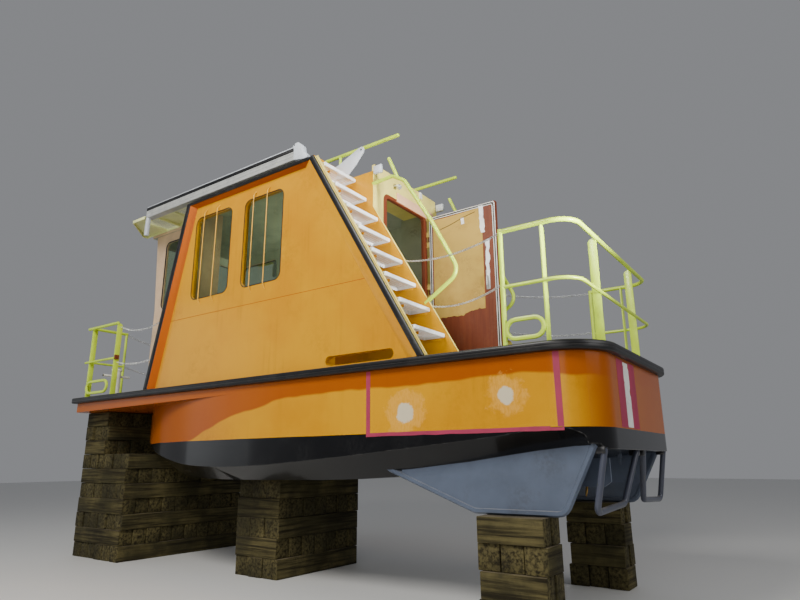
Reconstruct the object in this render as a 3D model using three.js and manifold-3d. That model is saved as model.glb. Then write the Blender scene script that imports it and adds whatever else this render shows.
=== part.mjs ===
// Escape boat: a steel boat with an orange house, twin stairs to its roof, rails and chains, standing on timber cribs.
// Millimetres. x runs forward from the stern, y to port, z up from the top of the rub rail, and the floor is FLOOR.
import * as THREE from 'three';
import { mergeVertices } from 'three/addons/utils/BufferGeometryUtils.js';
import Module from 'manifold-3d';

const wasm = await Module();
wasm.setup();

// Driving dimensions
const LENGTH = 7630;
const BEAM = 2500;
const FLOOR = -2150;
const GAP = 0.3;
const PORT = 1;
const STARBOARD = -1;
const SIDES = [['port', PORT], ['starboard', STARBOARD]];

// Rub rail and deck
const RAIL = { proud: 60, height: 80, round: 22, sternRadius: 450 };
const HALF_DECK = BEAM / 2 - RAIL.proud;
const DECK_SLAB = { bow: 205, mid: 167, taperFrom: 4200 };

// Hull below the deck: the side's half breadth is constant to x = straight, then follows an ellipse to the stem
const HULL = { aft: RAIL.proud, straight: 4200, stem: 6970 };
// Columns: x, chine level, half breadth of the flat bottom, level of the flat bottom
const HULL_STATIONS = [
  [60, -660, 970, -830],
  [330, -656, 965, -845],
  [900, -720, 960, -915],
  [1900, -810, 955, -1040],
  [3000, -900, 950, -1090],
  [4200, -960, 940, -1100],
  [4900, -940, 900, -1095],
  [5500, -860, 800, -1050],
  [6000, -760, 600, -920],
  [6400, -630, 400, -740],
  [6700, -500, 200, -540],
  [6900, -360, 80, -390],
  [6960, -290, 30, -310],
];
const SKIRT = { bottom: -790, round: 130, fore: 330 };

// Underwater fittings
const SKEG = { y: 1000, plate: 30, rim: 28, outline: [[200, -820], [450, -1305], [1220, -1305], [1960, -1030]] };
const HOOP = { radius: 25, bend: 60, route: [[60, 1000, -760], [210, 1000, -1290], [200, 310, -1260], [95, 80, -780]] };
const SHAFT = { y: 550, tilt: 10, radius: 20, bore: 21, barrel: 36 };
const PROPELLER = { x: 780, z: -1095, radius: 170, hub: 46, hubLength: 130, blades: 4, chord: 105, pitch: 28 };
const RUDDER = { stock: 440, fore: 570, aft: 215, top: -895, bottom: -1120, half: 12, stockRadius: 20, trunk: 21 };

// House: levels and faces shared by its panels
const ROOF = { bottom: 2420, top: 2500, aft: 3075, shoulder: 5280, fore: 6800, half: 1150, narrow: 760 };
const SIDE = { inner: 1100, recess: 1170, outer: 1240, lip: 150, aft: [1550, 2985], fore: [5870, 5280] };
const BAND = { rubber: 80, slope: 152, slopeAft: 228, rubberTop: 28, slopeTop: 62 };
const WINDOWS = [['fore', 4430, 5130], ['aft', 3520, 4180]];
const WINDOW = { bottom: 1090, top: 2200, round: 90, pane: [1128, 1136], rods: [0.36, 0.72] };
const ROD = { radius: 6, y: 1205, over: 25, foot: 70 };
const SLOT = { aft: 1940, fore: 2790, bottom: 20, top: 120 };
const FRONT = { y: 750, wall: 40, bottom: 6600, sill: [6580, 1250], head: [6690, 2420], shoulder: 5200 };
const FRONT_SIDE_WINDOW = { aft: 5620, fore: 6420, bottom: 1250, top: 2270, round: 80 };
const FRONT_WINDOW = { inner: 60, outer: 640, bottom: 1320, top: 2280, round: 80 };
const AFT = { x: 2565, wall: 40, half: 660, top: 2430, landing: 2330, plate: 40 };
const DOORWAY = { starboard: -386, port: 442, bottom: 100, top: 2110, round: 60 };
const STRINGER = { inner: 660, outer: 690, foot: 1455, kink: 1888, top: 2334, bulkhead: 3080, plate: 40 };
const TREAD = { count: 8, foot: 1660, low: 300, run: 166, rise: 286, depth: 250, thick: 40, cheek: 9, edge: [1222, 1234], edgeWidth: 46 };

// Roof fittings
const FENDER = { aft: 3200, fore: 6230, bottom: 2455, metal: 2560, rubber: 2620, lip: 2660 };
const WALKWAY = { bottom: 2460, top: 2500, tip: [6950, 840], corner: 6560 };
const ROOF_RAIL = { y: 655, z: 2700, aft: 2240, fore: 3950, radius: 21, posts: [3100, 3520] };

// Rails, bollards and chains
const TUBE = 21;
const MID_TUBE = 16;
const RAIL_TOP = 1020;
const RAIL_MID = 500;
const STERN = { y: 1200, x: 150, bend: 200, postA: 780, postB: 420, inner: 570, bar: 75, plate: 12 };
const BOW = { y: 1215, fore: 7350, aft: 6700, inner: 690, end: 7450 };
const BOLLARD = { x: 7050, y: 950, radius: 60, top: 400, pin: 300, pinRadius: 16, pinHalf: 200 };
const LINK = 6;

// Handrail on the stringer, side view
const HANDRAIL = [[2580, 2178], [2300, 2196], [2141, 2094], [1800, 1533], [1479, 908], [1890, 645]];
const STUB = [[2352, 2430], [2236, 2166]];

// Door: the leaf is closed when turned to cover the doorway, and is stored open
const DOOR = { x: 2530, y: -440, width: 930, inset: 20, bottom: 105, top: 2108, faces: [-30, 25] };
const HINGE = { radius: 14, height: 70, levels: [420, 1120, 1820] };

// Timber cribs: layers of square timbers, the upper ones at the bow standing ahead of the stem
const TIMBER_END = 35;
const BITE = 1;
const BOW_CRIB = { aft: 6450, stem: 7040, fore: 7600, half: 1000, layers: 10, under: 7 };
const MID_CRIB = { aft: 3850, fore: 4550, half: 700, layers: 5 };
const AFT_CRIB = { aft: 550, fore: 1150, half: 160, layers: 4 };

const COLOURS = {
  orange: [0xe89a1c, 0.25, 0],
  black: [0x16171a, 0.45, 0],
  blueGrey: [0x8f9db0, 0.5, 0.2],
  bronze: [0xa8843c, 0.35, 0.9],
  steel: [0x8b9096, 0.4, 0.7],
  glass: [0x46555c, 0.08, 0],
  beige: [0xcdb08c, 0.5, 0],
  lime: [0xc8e65a, 0.4, 0],
  tread: [0xe6ecec, 0.6, 0.1],
  aluminium: [0xb9bec4, 0.4, 0.7],
  primer: [0x7c3526, 0.6, 0],
  white: [0xeef0ee, 0.4, 0],
  chain: [0xaeb4b8, 0.35, 0.9],
  timber: [0x5b4a35, 0.9, 0],
};

// Geometry to solid and back
function solidOf(geometry) {
  geometry.deleteAttribute('normal');
  geometry.deleteAttribute('uv');
  const merged = mergeVertices(geometry, 1e-2);
  return new wasm.Manifold(new wasm.Mesh({
    numProp: 3,
    vertProperties: new Float32Array(merged.attributes.position.array),
    triVerts: new Uint32Array(merged.index.array),
  }));
}

function geometryOf(solid) {
  const { vertProperties, triVerts } = solid.getMesh();
  const geometry = new THREE.BufferGeometry();
  geometry.setAttribute('position', new THREE.BufferAttribute(new Float32Array(vertProperties), 3));
  geometry.setIndex(new THREE.BufferAttribute(new Uint32Array(triVerts), 1));
  geometry.computeVertexNormals();
  return geometry;
}

function joined(solids) {
  return solids.reduce((sum, solid) => sum.add(solid));
}

function moved(solid, x, y, z) {
  return solidOf(geometryOf(solid).translate(x, y, z));
}

// Flat outlines and prisms: plan in x and y, side in x and z, end in y and z
function shapeOf(outline) {
  return outline instanceof THREE.Shape ? outline : new THREE.Shape(outline.map(([a, b]) => new THREE.Vector2(a, b)));
}

function extruded(outline, depth, curveSegments = 3) {
  return new THREE.ExtrudeGeometry(shapeOf(outline), { depth, bevelEnabled: false, curveSegments });
}

function plan(outline, bottom, top, curveSegments) {
  return solidOf(extruded(outline, top - bottom, curveSegments).translate(0, 0, bottom));
}

function side(outline, from, to, curveSegments) {
  const high = Math.max(from, to);
  const depth = Math.abs(to - from);
  return solidOf(extruded(outline, depth, curveSegments).rotateX(Math.PI / 2).translate(0, high, 0));
}

function end(outline, aft, fore, curveSegments) {
  const turn = new THREE.Matrix4().makeBasis(
    new THREE.Vector3(0, 1, 0), new THREE.Vector3(0, 0, 1), new THREE.Vector3(1, 0, 0));
  return solidOf(extruded(outline, fore - aft, curveSegments).applyMatrix4(turn).translate(aft, 0, 0));
}

function block([x0, x1], [y0, y1], [z0, z1]) {
  const box = new THREE.BoxGeometry(Math.abs(x1 - x0), Math.abs(y1 - y0), Math.abs(z1 - z0));
  return solidOf(box.translate((x0 + x1) / 2, (y0 + y1) / 2, (z0 + z1) / 2));
}

function rounded(left, bottom, right, top, radius) {
  const shape = new THREE.Shape();
  shape.absarc(right - radius, bottom + radius, radius, -Math.PI / 2, 0);
  shape.absarc(right - radius, top - radius, radius, 0, Math.PI / 2);
  shape.absarc(left + radius, top - radius, radius, Math.PI / 2, Math.PI);
  shape.absarc(left + radius, bottom + radius, radius, Math.PI, Math.PI * 1.5);
  return shape;
}

function stadiumRing(left, bottom, right, top, bar) {
  const outer = rounded(left, bottom, right, top, (top - bottom) / 2);
  const inner = rounded(left + bar, bottom + bar, right - bar, top - bar, (top - bottom) / 2 - bar);
  outer.holes.push(inner);
  return outer;
}

// A solid through like rings of points, one after the other, closed by flat ends
function loft(rings) {
  const count = rings[0].length;
  const faces = [];
  for (let r = 0; r + 1 < rings.length; r += 1) {
    for (let i = 0; i < count; i += 1) {
      const j = (i + 1) % count;
      const [a, b, c, d] = [r * count + i, r * count + j, (r + 1) * count + j, (r + 1) * count + i];
      faces.push([a, b, c], [a, c, d]);
    }
  }
  const last = (rings.length - 1) * count;
  for (let i = 1; i + 1 < count; i += 1) {
    faces.push([0, i + 1, i], [last, last + i, last + i + 1]);
  }
  const points = rings.flat().map(([x, y, z]) => new THREE.Vector3(x, y, z));
  const volume = faces.reduce((sum, [a, b, c]) => sum + points[a].dot(points[b].clone().cross(points[c])), 0);
  const outward = volume > 0 ? faces : faces.map(([a, b, c]) => [a, c, b]);
  const geometry = new THREE.BufferGeometry().setFromPoints(points);
  geometry.setIndex(outward.flat());
  return solidOf(geometry);
}

// Tubes: a route is a list of corners, bent to a radius, and each of its stations carries one ring
class Route extends THREE.Curve {
  constructor(stations) {
    super();
    this.stations = stations;
  }

  getPointAt(t, target = new THREE.Vector3()) {
    return target.copy(this.stations[Math.round(t * (this.stations.length - 1))]);
  }

  getTangentAt(t, target = new THREE.Vector3()) {
    const last = this.stations.length - 1;
    const here = Math.round(t * last);
    const next = this.stations[Math.min(here + 1, last)];
    return target.subVectors(next, this.stations[Math.max(here - 1, 0)]).normalize();
  }
}

function bent(corners, radius, steps) {
  const points = corners.map(([x, y, z]) => new THREE.Vector3(x, y, z));
  const stations = [points[0]];
  for (let i = 1; i + 1 < points.length; i += 1) {
    const back = points[i - 1].clone().sub(points[i]).normalize();
    const ahead = points[i + 1].clone().sub(points[i]).normalize();
    const half = back.angleTo(ahead) / 2;
    const centre = back.clone().add(ahead).normalize().multiplyScalar(radius / Math.sin(half)).add(points[i]);
    const first = back.multiplyScalar(radius / Math.tan(half)).add(points[i]).sub(centre);
    const axis = ahead.multiplyScalar(radius / Math.tan(half)).add(points[i]).sub(centre);
    const sweep = first.angleTo(axis);
    axis.crossVectors(first, axis).normalize();
    for (let step = 0; step <= steps; step += 1) {
      stations.push(first.clone().applyAxisAngle(axis, sweep * step / steps).add(centre));
    }
  }
  stations.push(points.at(-1));
  return stations;
}

function tube(corners, radius, { bend = 60, steps = 2, sides = 6 } = {}) {
  const stations = bent(corners, bend, steps);
  const section = Array.from({ length: sides }, (_, i) => {
    const angle = (i + 0.5) * 2 * Math.PI / sides;
    return [radius * Math.cos(angle), radius * Math.sin(angle)];
  });
  return solidOf(new THREE.ExtrudeGeometry(shapeOf(section), {
    steps: stations.length - 1, extrudePath: new Route(stations), bevelEnabled: false,
  }));
}

function post(x, y, bottom, top, radius, sides = 6) {
  return tube([[x, y, bottom], [x, y, top]], radius, { sides });
}

// Hull, deck and rub rail
function deckOutline(inset) {
  const half = BEAM / 2 - inset;
  const radius = RAIL.sternRadius - inset;
  const turn = inset + radius;
  const shape = new THREE.Shape();
  shape.moveTo(turn, -half);
  shape.lineTo(LENGTH - inset, -half);
  shape.lineTo(LENGTH - inset, half);
  shape.lineTo(turn, half);
  shape.absarc(turn, half - radius, radius, Math.PI / 2, Math.PI);
  shape.absarc(turn, radius - half, radius, Math.PI, Math.PI * 1.5);
  return shape;
}

function halfBreadth(x) {
  const past = Math.max(0, (x - HULL.straight) / (HULL.stem - HULL.straight));
  return HALF_DECK * Math.sqrt(1 - past * past);
}

// A curve through a column of the stations that never overshoots them, with its slope eased at each one
function easedColumn(column, interval, t) {
  const at = (i) => HULL_STATIONS[i];
  const secant = (i) => (at(i + 1)[column] - at(i)[column]) / (at(i + 1)[0] - at(i)[0]);
  const slope = (i) => {
    if (i === 0) return secant(0);
    if (i === HULL_STATIONS.length - 1) return secant(i - 1);
    const [before, after] = [secant(i - 1), secant(i)];
    return before * after > 0 ? 2 * before * after / (before + after) : 0;
  };
  const [low, high] = [at(interval), at(interval + 1)];
  const span = high[0] - low[0];
  const ease = t * t * (3 - 2 * t);
  return low[column] * (1 - ease) + high[column] * ease
    + span * t * (1 - t) * (slope(interval) * (1 - t) - slope(interval + 1) * t);
}

function fairedStations() {
  const faired = [];
  for (let i = 0; i + 1 < HULL_STATIONS.length; i += 1) {
    const steps = HULL_STATIONS[i][0] < HULL.straight ? 2 : 3;
    for (let step = 0; step < steps; step += 1) {
      const t = step / steps;
      const x = HULL_STATIONS[i][0] + (HULL_STATIONS[i + 1][0] - HULL_STATIONS[i][0]) * t;
      faired.push([x, ...[1, 2, 3].map((column) => easedColumn(column, i, t))]);
    }
  }
  return [...faired, HULL_STATIONS.at(-1)];
}

function hullSolid() {
  const inDeck = -60;
  const rings = fairedStations().map(([x, chine, flat, bottom]) => {
    const half = halfBreadth(x);
    const section = [[half, inDeck], [half, chine], [Math.min(flat, half - 2), bottom]];
    const mirrored = section.map(([y, z]) => [-y, z]).reverse();
    return [...section, ...mirrored].map(([y, z]) => [x, y, z]);
  });
  const deckSide = [
    [RAIL.proud, 0], [RAIL.proud, -DECK_SLAB.mid], [DECK_SLAB.taperFrom, -DECK_SLAB.mid],
    [LENGTH - RAIL.proud, -DECK_SLAB.bow], [LENGTH - RAIL.proud, 0],
  ];
  const skirt = new THREE.Shape();
  skirt.moveTo(HULL.aft, inDeck);
  skirt.lineTo(HULL.aft, SKIRT.bottom);
  skirt.lineTo(SKIRT.fore - SKIRT.round, SKIRT.bottom);
  skirt.absarc(SKIRT.fore, SKIRT.bottom, SKIRT.round, Math.PI, Math.PI / 2, true);
  skirt.lineTo(SKIRT.fore, inDeck);
  const body = joined([loft(rings), side(deckSide, -HALF_DECK, HALF_DECK), side(skirt, -HALF_DECK, HALF_DECK)]);
  const trunks = SIDES.map(([, s]) => post(RUDDER.stock, s * SHAFT.y, FLOOR, RUDDER.top + 100, RUDDER.trunk, 12));
  return trunks.reduce((left, trunk) => left.subtract(trunk), body.intersect(plan(deckOutline(RAIL.proud), FLOOR, 0, 8)));
}

function rubRail() {
  const outer = new THREE.ExtrudeGeometry(deckOutline(0), {
    depth: RAIL.height - 2 * RAIL.round, curveSegments: 8,
    bevelThickness: RAIL.round, bevelSize: RAIL.round, bevelOffset: -RAIL.round, bevelSegments: 2,
  }).translate(0, 0, RAIL.round - RAIL.height);
  return solidOf(outer).subtract(plan(deckOutline(RAIL.proud - GAP), -2 * RAIL.height, RAIL.height, 8));
}

// Underwater fittings, each cut to the hull it is welded to
function skeg(s, hullCut) {
  const plate = side([[200, -700], ...SKEG.outline, [1960, -700]], s * (SKEG.y - SKEG.plate / 2), s * (SKEG.y + SKEG.plate / 2));
  const rim = SKEG.outline.map(([x, z]) => [x, s * SKEG.y, z]);
  const [aftTop, aftFoot] = [rim[0], rim[1]];
  const above = [aftTop[0] - (aftFoot[0] - aftTop[0]) * 0.2, aftTop[1], aftTop[2] + 97];
  const ahead = [2200, s * SKEG.y, -940];
  return plate.add(tube([above, ...rim.slice(1), ahead], SKEG.rim, { bend: 90, steps: 3 })).subtract(hullCut);
}

function guardHoop(s, hullCut) {
  const route = HOOP.route.map(([x, y, z]) => [x, s * y, z]);
  return tube(route, HOOP.radius, { bend: HOOP.bend }).subtract(hullCut);
}

function propeller() {
  const { hub, hubLength, radius, blades, chord, pitch } = PROPELLER;
  const pieces = [
    tube([[-hubLength / 2 - 40, 0, 0], [-hubLength / 2, 0, 0]], hub * 0.55, { sides: 12 }),
    tube([[-hubLength / 2, 0, 0], [hubLength / 2, 0, 0]], hub, { sides: 12 }),
    tube([[0, 0, 0], [hubLength / 2 + 90, 0, 0]], SHAFT.radius, { sides: 12 }),
  ];
  for (let i = 0; i < blades; i += 1) {
    const leaf = new THREE.Shape();
    leaf.moveTo(-chord * 0.22, hub * 0.6);
    leaf.quadraticCurveTo(-chord * 0.62, radius * 0.72, -chord * 0.2, radius * 0.97);
    leaf.lineTo(chord * 0.2, radius * 0.97);
    leaf.quadraticCurveTo(chord * 0.62, radius * 0.72, chord * 0.22, hub * 0.6);
    const blade = new THREE.ExtrudeGeometry(leaf, { depth: 10, bevelEnabled: false, curveSegments: 4 });
    blade.translate(0, 0, -5).rotateX(Math.PI / 2);
    blade.rotateZ(THREE.MathUtils.degToRad(90 - pitch)).rotateX(i * 2 * Math.PI / blades);
    pieces.push(solidOf(blade));
  }
  return joined(pieces);
}

function shaftBracket(s, hullCut) {
  const tilt = THREE.MathUtils.degToRad(SHAFT.tilt);
  const along = (d) => [PROPELLER.x + d * Math.cos(tilt), s * SHAFT.y, PROPELLER.z + d * Math.sin(tilt)];
  const start = PROPELLER.hubLength / 2 + 6;
  const barrel = tube([along(start), along(900)], SHAFT.barrel, { sides: 12 });
  const bore = tube([along(start - 50), along(start + 90)], SHAFT.bore, { sides: 12 });
  const strut = [[905, -1060], [985, -1045], [1015, -860], [935, -860]];
  return barrel.add(side(strut, s * (SHAFT.y - 9), s * (SHAFT.y + 9))).subtract(bore).subtract(hullCut);
}

function rudder() {
  const { stock, fore, aft, top, bottom, half, stockRadius } = RUDDER;
  const blade = [
    [aft - stock, bottom + 40], [aft - stock, top], [fore - stock, top],
    [fore - stock, bottom + 30], [fore - stock - 40, bottom], [aft - stock + 60, bottom],
  ];
  return side(blade, -half, half).add(post(0, 0, top - 60, top + 90, stockRadius, 12));
}

// House
function sideEdge([low, high], z) {
  return low + (high - low) * z / ROOF.bottom;
}

function sideOutline(inset, drop, bottom, insetAft = inset) {
  const top = ROOF.bottom - drop;
  return [
    [sideEdge(SIDE.aft, bottom) + insetAft, bottom], [sideEdge(SIDE.fore, bottom) - inset, bottom],
    [sideEdge(SIDE.fore, top) - inset, top], [sideEdge(SIDE.aft, top) + insetAft, top],
  ];
}

// A strip along the slanting aft edge of a side wall, between two distances from it
function aftStrip(from, to, bottom, top) {
  const edge = (z, by) => [sideEdge(SIDE.aft, z) + by, z];
  return [edge(bottom, from), edge(bottom, to), edge(top, to), edge(top, from)];
}

function sideWall(s) {
  const below = -20;
  const recess = loft([
    sideOutline(BAND.slope, BAND.slopeTop, below, BAND.slopeAft).map(([x, z]) => [x, s * SIDE.recess, z]),
    sideOutline(BAND.rubber, BAND.rubberTop, below).map(([x, z]) => [x, s * (SIDE.outer + 1), z]),
  ]);
  const lip = side(aftStrip(-20, SIDE.lip, below, ROOF.bottom + 20), s * (SIDE.inner - 10), s * SIDE.recess);
  let wall = side(sideOutline(0, 0, GAP), s * SIDE.inner, s * SIDE.outer).subtract(recess).subtract(lip);
  for (const [, aft, fore] of WINDOWS) {
    const hole = rounded(aft, WINDOW.bottom, fore, WINDOW.top, WINDOW.round);
    wall = wall.subtract(side(hole, s * (SIDE.inner - 10), s * (SIDE.outer + 10)));
  }
  const slot = rounded(SLOT.aft, SLOT.bottom, SLOT.fore, SLOT.top, (SLOT.top - SLOT.bottom) / 2);
  wall = wall.subtract(side(slot, s * (SIDE.inner - 10), s * (SIDE.outer + 10)));
  for (const [, aft, fore] of WINDOWS) {
    for (const share of WINDOW.rods) {
      const x = aft + (fore - aft) * share;
      const [low, high] = [WINDOW.bottom - ROD.over, WINDOW.top + ROD.over];
      wall = wall.add(tube([
        [x, s * (SIDE.recess - 8), high + ROD.foot], [x, s * ROD.y, high],
        [x, s * ROD.y, low], [x, s * (SIDE.recess - 8), low - ROD.foot],
      ], ROD.radius, { bend: 30, steps: 1, sides: 6 }));
    }
  }
  return wall;
}

function sideWindow(s, aft, fore) {
  const pane = rounded(aft + GAP, WINDOW.bottom + GAP, fore - GAP, WINDOW.top - GAP, WINDOW.round - GAP);
  return side(pane, s * WINDOW.pane[0], s * WINDOW.pane[1]);
}

function frontSide(s) {
  const { y, wall, bottom, sill, head, shoulder } = FRONT;
  const panel = side([[shoulder, GAP], [bottom, GAP], sill, head, [shoulder, head[1]]], s * (y - wall), s * y);
  const across = block([shoulder, shoulder + wall], [s * (y - wall), s * (SIDE.inner - GAP)], [GAP, head[1]]);
  const hole = FRONT_SIDE_WINDOW;
  const cut = side(rounded(hole.aft, hole.bottom, hole.fore, hole.top, hole.round), s * (y - wall - 10), s * (y + 10));
  return panel.add(across).subtract(cut);
}

function frontSideWindow(s) {
  const { aft, fore, bottom, top, round } = FRONT_SIDE_WINDOW;
  const pane = rounded(aft + GAP, bottom + GAP, fore - GAP, top - GAP, round - GAP);
  return side(pane, s * (FRONT.y - 24), s * (FRONT.y - 16));
}

function frontWindowHole(s, grow) {
  const { inner, outer, bottom, top, round } = FRONT_WINDOW;
  const [left, right] = s === PORT ? [inner, outer] : [-outer, -inner];
  return rounded(left - grow, bottom - grow, right + grow, top + grow, round + grow);
}

function frontPanel(back, front, from, to) {
  const { bottom, sill, head } = FRONT;
  const face = [[bottom, GAP], sill, head];
  const outline = [...face.map(([x, z]) => [x - front, z]), ...face.map(([x, z]) => [x - back, z]).reverse()];
  return side(outline, from, to);
}

function frontWall() {
  const half = FRONT.y - FRONT.wall - GAP;
  const panel = frontPanel(FRONT.wall, 0, -half, half);
  return SIDES.reduce((left, [, s]) => left.subtract(end(frontWindowHole(s, 0), 6400, 6900)), panel);
}

function frontWindow(s) {
  return frontPanel(24, 16, -FRONT.y, FRONT.y).intersect(end(frontWindowHole(s, -GAP), 6400, 6900));
}

function aftWall() {
  const { x, wall, half, top, landing, plate } = AFT;
  const edge = half - GAP;
  const hole = rounded(DOORWAY.starboard, DOORWAY.bottom, DOORWAY.port, DOORWAY.top, DOORWAY.round);
  const pieces = [
    block([x, x + wall], [-edge, edge], [GAP, top]).subtract(end(hole, x - 10, x + wall + 10)),
    block([x + wall - 1, ROOF.aft - GAP], [-edge, edge], [landing - plate, landing]),
    block([ROOF.aft - GAP - 20, ROOF.aft - GAP], [-edge, edge], [landing - plate, ROOF.top - 10]),
  ];
  for (const level of HINGE.levels) {
    for (const z of [level - HINGE.height, level + HINGE.height]) {
      const [low, high] = [z - HINGE.height / 2 + GAP, z + HINGE.height / 2 - GAP];
      pieces.push(post(DOOR.x, DOOR.y, low, high, HINGE.radius));
      pieces.push(block([DOOR.x, x + 1], [DOOR.y - 10, DOOR.y + 10], [low, high]));
    }
  }
  return joined(pieces);
}

function aftDoor() {
  const [starboard, port] = DOOR.faces;
  const leaf = block([-DOOR.width - DOOR.inset, -DOOR.inset], [starboard, port], [DOOR.bottom, DOOR.top]);
  const pieces = [leaf];
  for (const level of HINGE.levels) {
    const [low, high] = [level - HINGE.height / 2, level + HINGE.height / 2];
    pieces.push(post(0, 0, low, high, HINGE.radius));
    pieces.push(block([-DOOR.inset - 1, 0], [-10, 10], [low, high]));
  }
  return joined(pieces);
}

function stairWall(s) {
  const { inner, outer, foot, kink, top, bulkhead, plate } = STRINGER;
  const fore = bulkhead + plate;
  const outline = [
    [foot, GAP], [fore, GAP], [fore, ROOF.bottom], [ROOF.aft, ROOF.bottom], [ROOF.aft, top], [AFT.x, top], [AFT.x, kink],
  ];
  const across = block([bulkhead, fore], [s * inner, s * (SIDE.inner - GAP)], [GAP, ROOF.bottom]);
  return side(outline, s * inner, s * outer).add(across);
}

function stairTreads(s) {
  const { count, foot, low, run, rise, depth, thick, cheek, edge, edgeWidth } = TREAD;
  const [inner, outer] = [STRINGER.outer + GAP, SIDE.inner - GAP];
  const slit = 2 * GAP;
  const pieces = [side(aftStrip(-edgeWidth, -slit, GAP, ROOF.bottom - 10), s * edge[0], s * edge[1])];
  for (let i = 0; i < count; i += 1) {
    const [x, z] = [foot + run * i, low + rise * i];
    const wall = sideEdge(SIDE.aft, z - thick) - slit;
    pieces.push(block([x, x + depth], [s * inner, s * outer], [z - thick, z]));
    pieces.push(block([x, wall + SIDE.lip], [s * (outer - 1), s * (SIDE.recess - GAP)], [z - thick, z]));
    pieces.push(block([x, wall], [s * (outer - 1), s * (edge[0] + 1)], [z - thick, z]));
  }
  const climb = rise * (count - 1);
  const [x0, z0] = [foot + 170, low - thick / 2];
  const drop = (z0 - GAP) * run / rise;
  const strip = [[x0 - drop - 45, GAP], [x0 - drop + 45, GAP], [x0 + run * (count - 1) + 45, z0 + climb], [x0 + run * (count - 1) - 45, z0 + climb]];
  pieces.push(side(strip, s * inner, s * (inner + cheek)), side(strip, s * (outer - cheek), s * outer));
  return joined(pieces);
}

function handrail(s, stringerCut) {
  const y = s * (STRINGER.inner + STRINGER.outer) / 2;
  const lift = ([x, z]) => [x, y, z];
  return joined([
    tube(HANDRAIL.map(lift), TUBE, { bend: 135 }), tube(STUB.map(lift), TUBE * 0.95),
  ]).subtract(stringerCut);
}

// Roof
function roofDeck() {
  const { aft, shoulder, fore, half, narrow } = ROOF;
  const portSide = [[fore, narrow], [shoulder, narrow], [shoulder, half], [aft, half]];
  const outline = [...portSide.map(([x, y]) => [x, -y]).reverse(), ...portSide];
  return plan(outline, ROOF.bottom + GAP, ROOF.top);
}

function roofFender(s) {
  const { aft, fore, bottom, metal, rubber, lip } = FENDER;
  const face = ROOF.half + GAP;
  const outer = BEAM / 2;
  const section = [[face, bottom], [outer, bottom], [outer, metal], [outer - 12, metal], [outer - 12, rubber],
    [outer - 60, rubber], [outer - 60, lip], [face, lip]].map(([y, z]) => [s * y, z]);
  const foreBracket = [[fore - 80, bottom + 20], [fore, bottom + 20], [fore + 30, 2230], [fore - 30, 2200], [fore - 80, 2380]];
  const hook = [[aft - 10, bottom - 20], [aft + 140, bottom - 20], [aft + 140, metal + 5], [aft + 95, metal + 15],
    [aft + 80, lip - 5], [aft + 20, lip + 5], [aft - 10, metal + 5]];
  return joined([
    end(s === PORT ? section : section.reverse(), aft, fore),
    side(foreBracket, s * (face + 10), s * (outer - 5)),
    side(hook, s * (face + 15), s * outer),
  ]);
}

function walkway(s) {
  const { bottom, top, tip, corner } = WALKWAY;
  const aft = ROOF.shoulder + GAP;
  const inner = ROOF.narrow + GAP;
  const beside = ROOF.half;
  const past = FENDER.fore + GAP;
  const outline = [[aft, inner], [tip[0], inner], tip, [corner, BEAM / 2], [past + 32, BEAM / 2], [past + 32, beside], [aft, beside]];
  return plan(outline.map(([x, y]) => [x, s * y]), bottom, top);
}

function roofRail(s) {
  const { y, z, aft, fore, radius, posts } = ROOF_RAIL;
  const pieces = [tube([[aft, s * y, z], [fore, s * y, z], [fore, s * y, ROOF.top + GAP]], radius)];
  for (const x of posts) {
    pieces.push(post(x, s * y, ROOF.top + GAP, z, radius * 0.8));
  }
  return joined(pieces);
}

function leverPlate() {
  const [rear, foot] = [ROOF.aft - GAP, ROOF.top + GAP];
  const outline = [[rear, 2345], [rear, foot], [3230, foot], [3215, 2560], [3165, 2612], [3068, 2630], [2880, 2664], [2725, 2676],
    [2690, 2660], [2668, 2628], [2676, 2592], [2785, 2469], [2925, 2345]];
  const eye = post(2716, 0, -50, 50, 11);
  const lying = geometryOf(eye).rotateX(Math.PI / 2).translate(0, 727, 2634);
  return side(outline, 722, 732).subtract(solidOf(lying));
}

// Rails on the deck
function flatBar(x, y, top, alongX, inward) {
  const half = STERN.plate / 2;
  const span = alongX ? [[x - half, x + half], [y, y + inward * STERN.bar]] : [[x, x + inward * STERN.bar], [y - half, y + half]];
  return block(span[0], span[1], [GAP, top]);
}

function sternRail() {
  const { y, x, bend, postA, postB, inner } = STERN;
  const around = (z, radius) => tube([[postA, y, z], [x, y, z], [x, -y, z], [postA, -y, z]], radius, { bend, steps: 4 });
  const pieces = [around(RAIL_TOP - TUBE, TUBE), around(RAIL_MID, MID_TUBE)];
  for (const [, s] of SIDES) {
    pieces.push(post(postA, s * y, GAP, RAIL_TOP, TUBE));
    pieces.push(flatBar(postB, s * y, RAIL_TOP - TUBE, true, -s));
    pieces.push(flatBar(x, s * inner, RAIL_TOP - TUBE, false, 1));
    pieces.push(side(stadiumRing(postB, 30, postA, 225, 36), s * (y - 18), s * (y + 18)));
  }
  return joined(pieces);
}

function bowRail(s) {
  const { y, fore, aft, inner, end: overhang } = BOW;
  const pieces = [];
  for (const [z, radius] of [[RAIL_TOP - TUBE, TUBE], [RAIL_MID, MID_TUBE]]) {
    pieces.push(tube([[aft - 10, s * y, z], [overhang, s * y, z]], radius));
    pieces.push(tube([[fore, s * y, z], [fore, s * (inner - 10), z]], radius));
  }
  pieces.push(flatBar(fore, s * y, RAIL_TOP - TUBE, true, -s));
  pieces.push(flatBar(aft, s * y, RAIL_TOP - TUBE, true, -s));
  pieces.push(post(fore, s * inner, GAP, RAIL_TOP, TUBE * 0.85));
  pieces.push(side(stadiumRing(aft + 90, 30, fore, 225, 36), s * (y - 16), s * (y + 16)));
  return joined(pieces);
}

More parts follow.
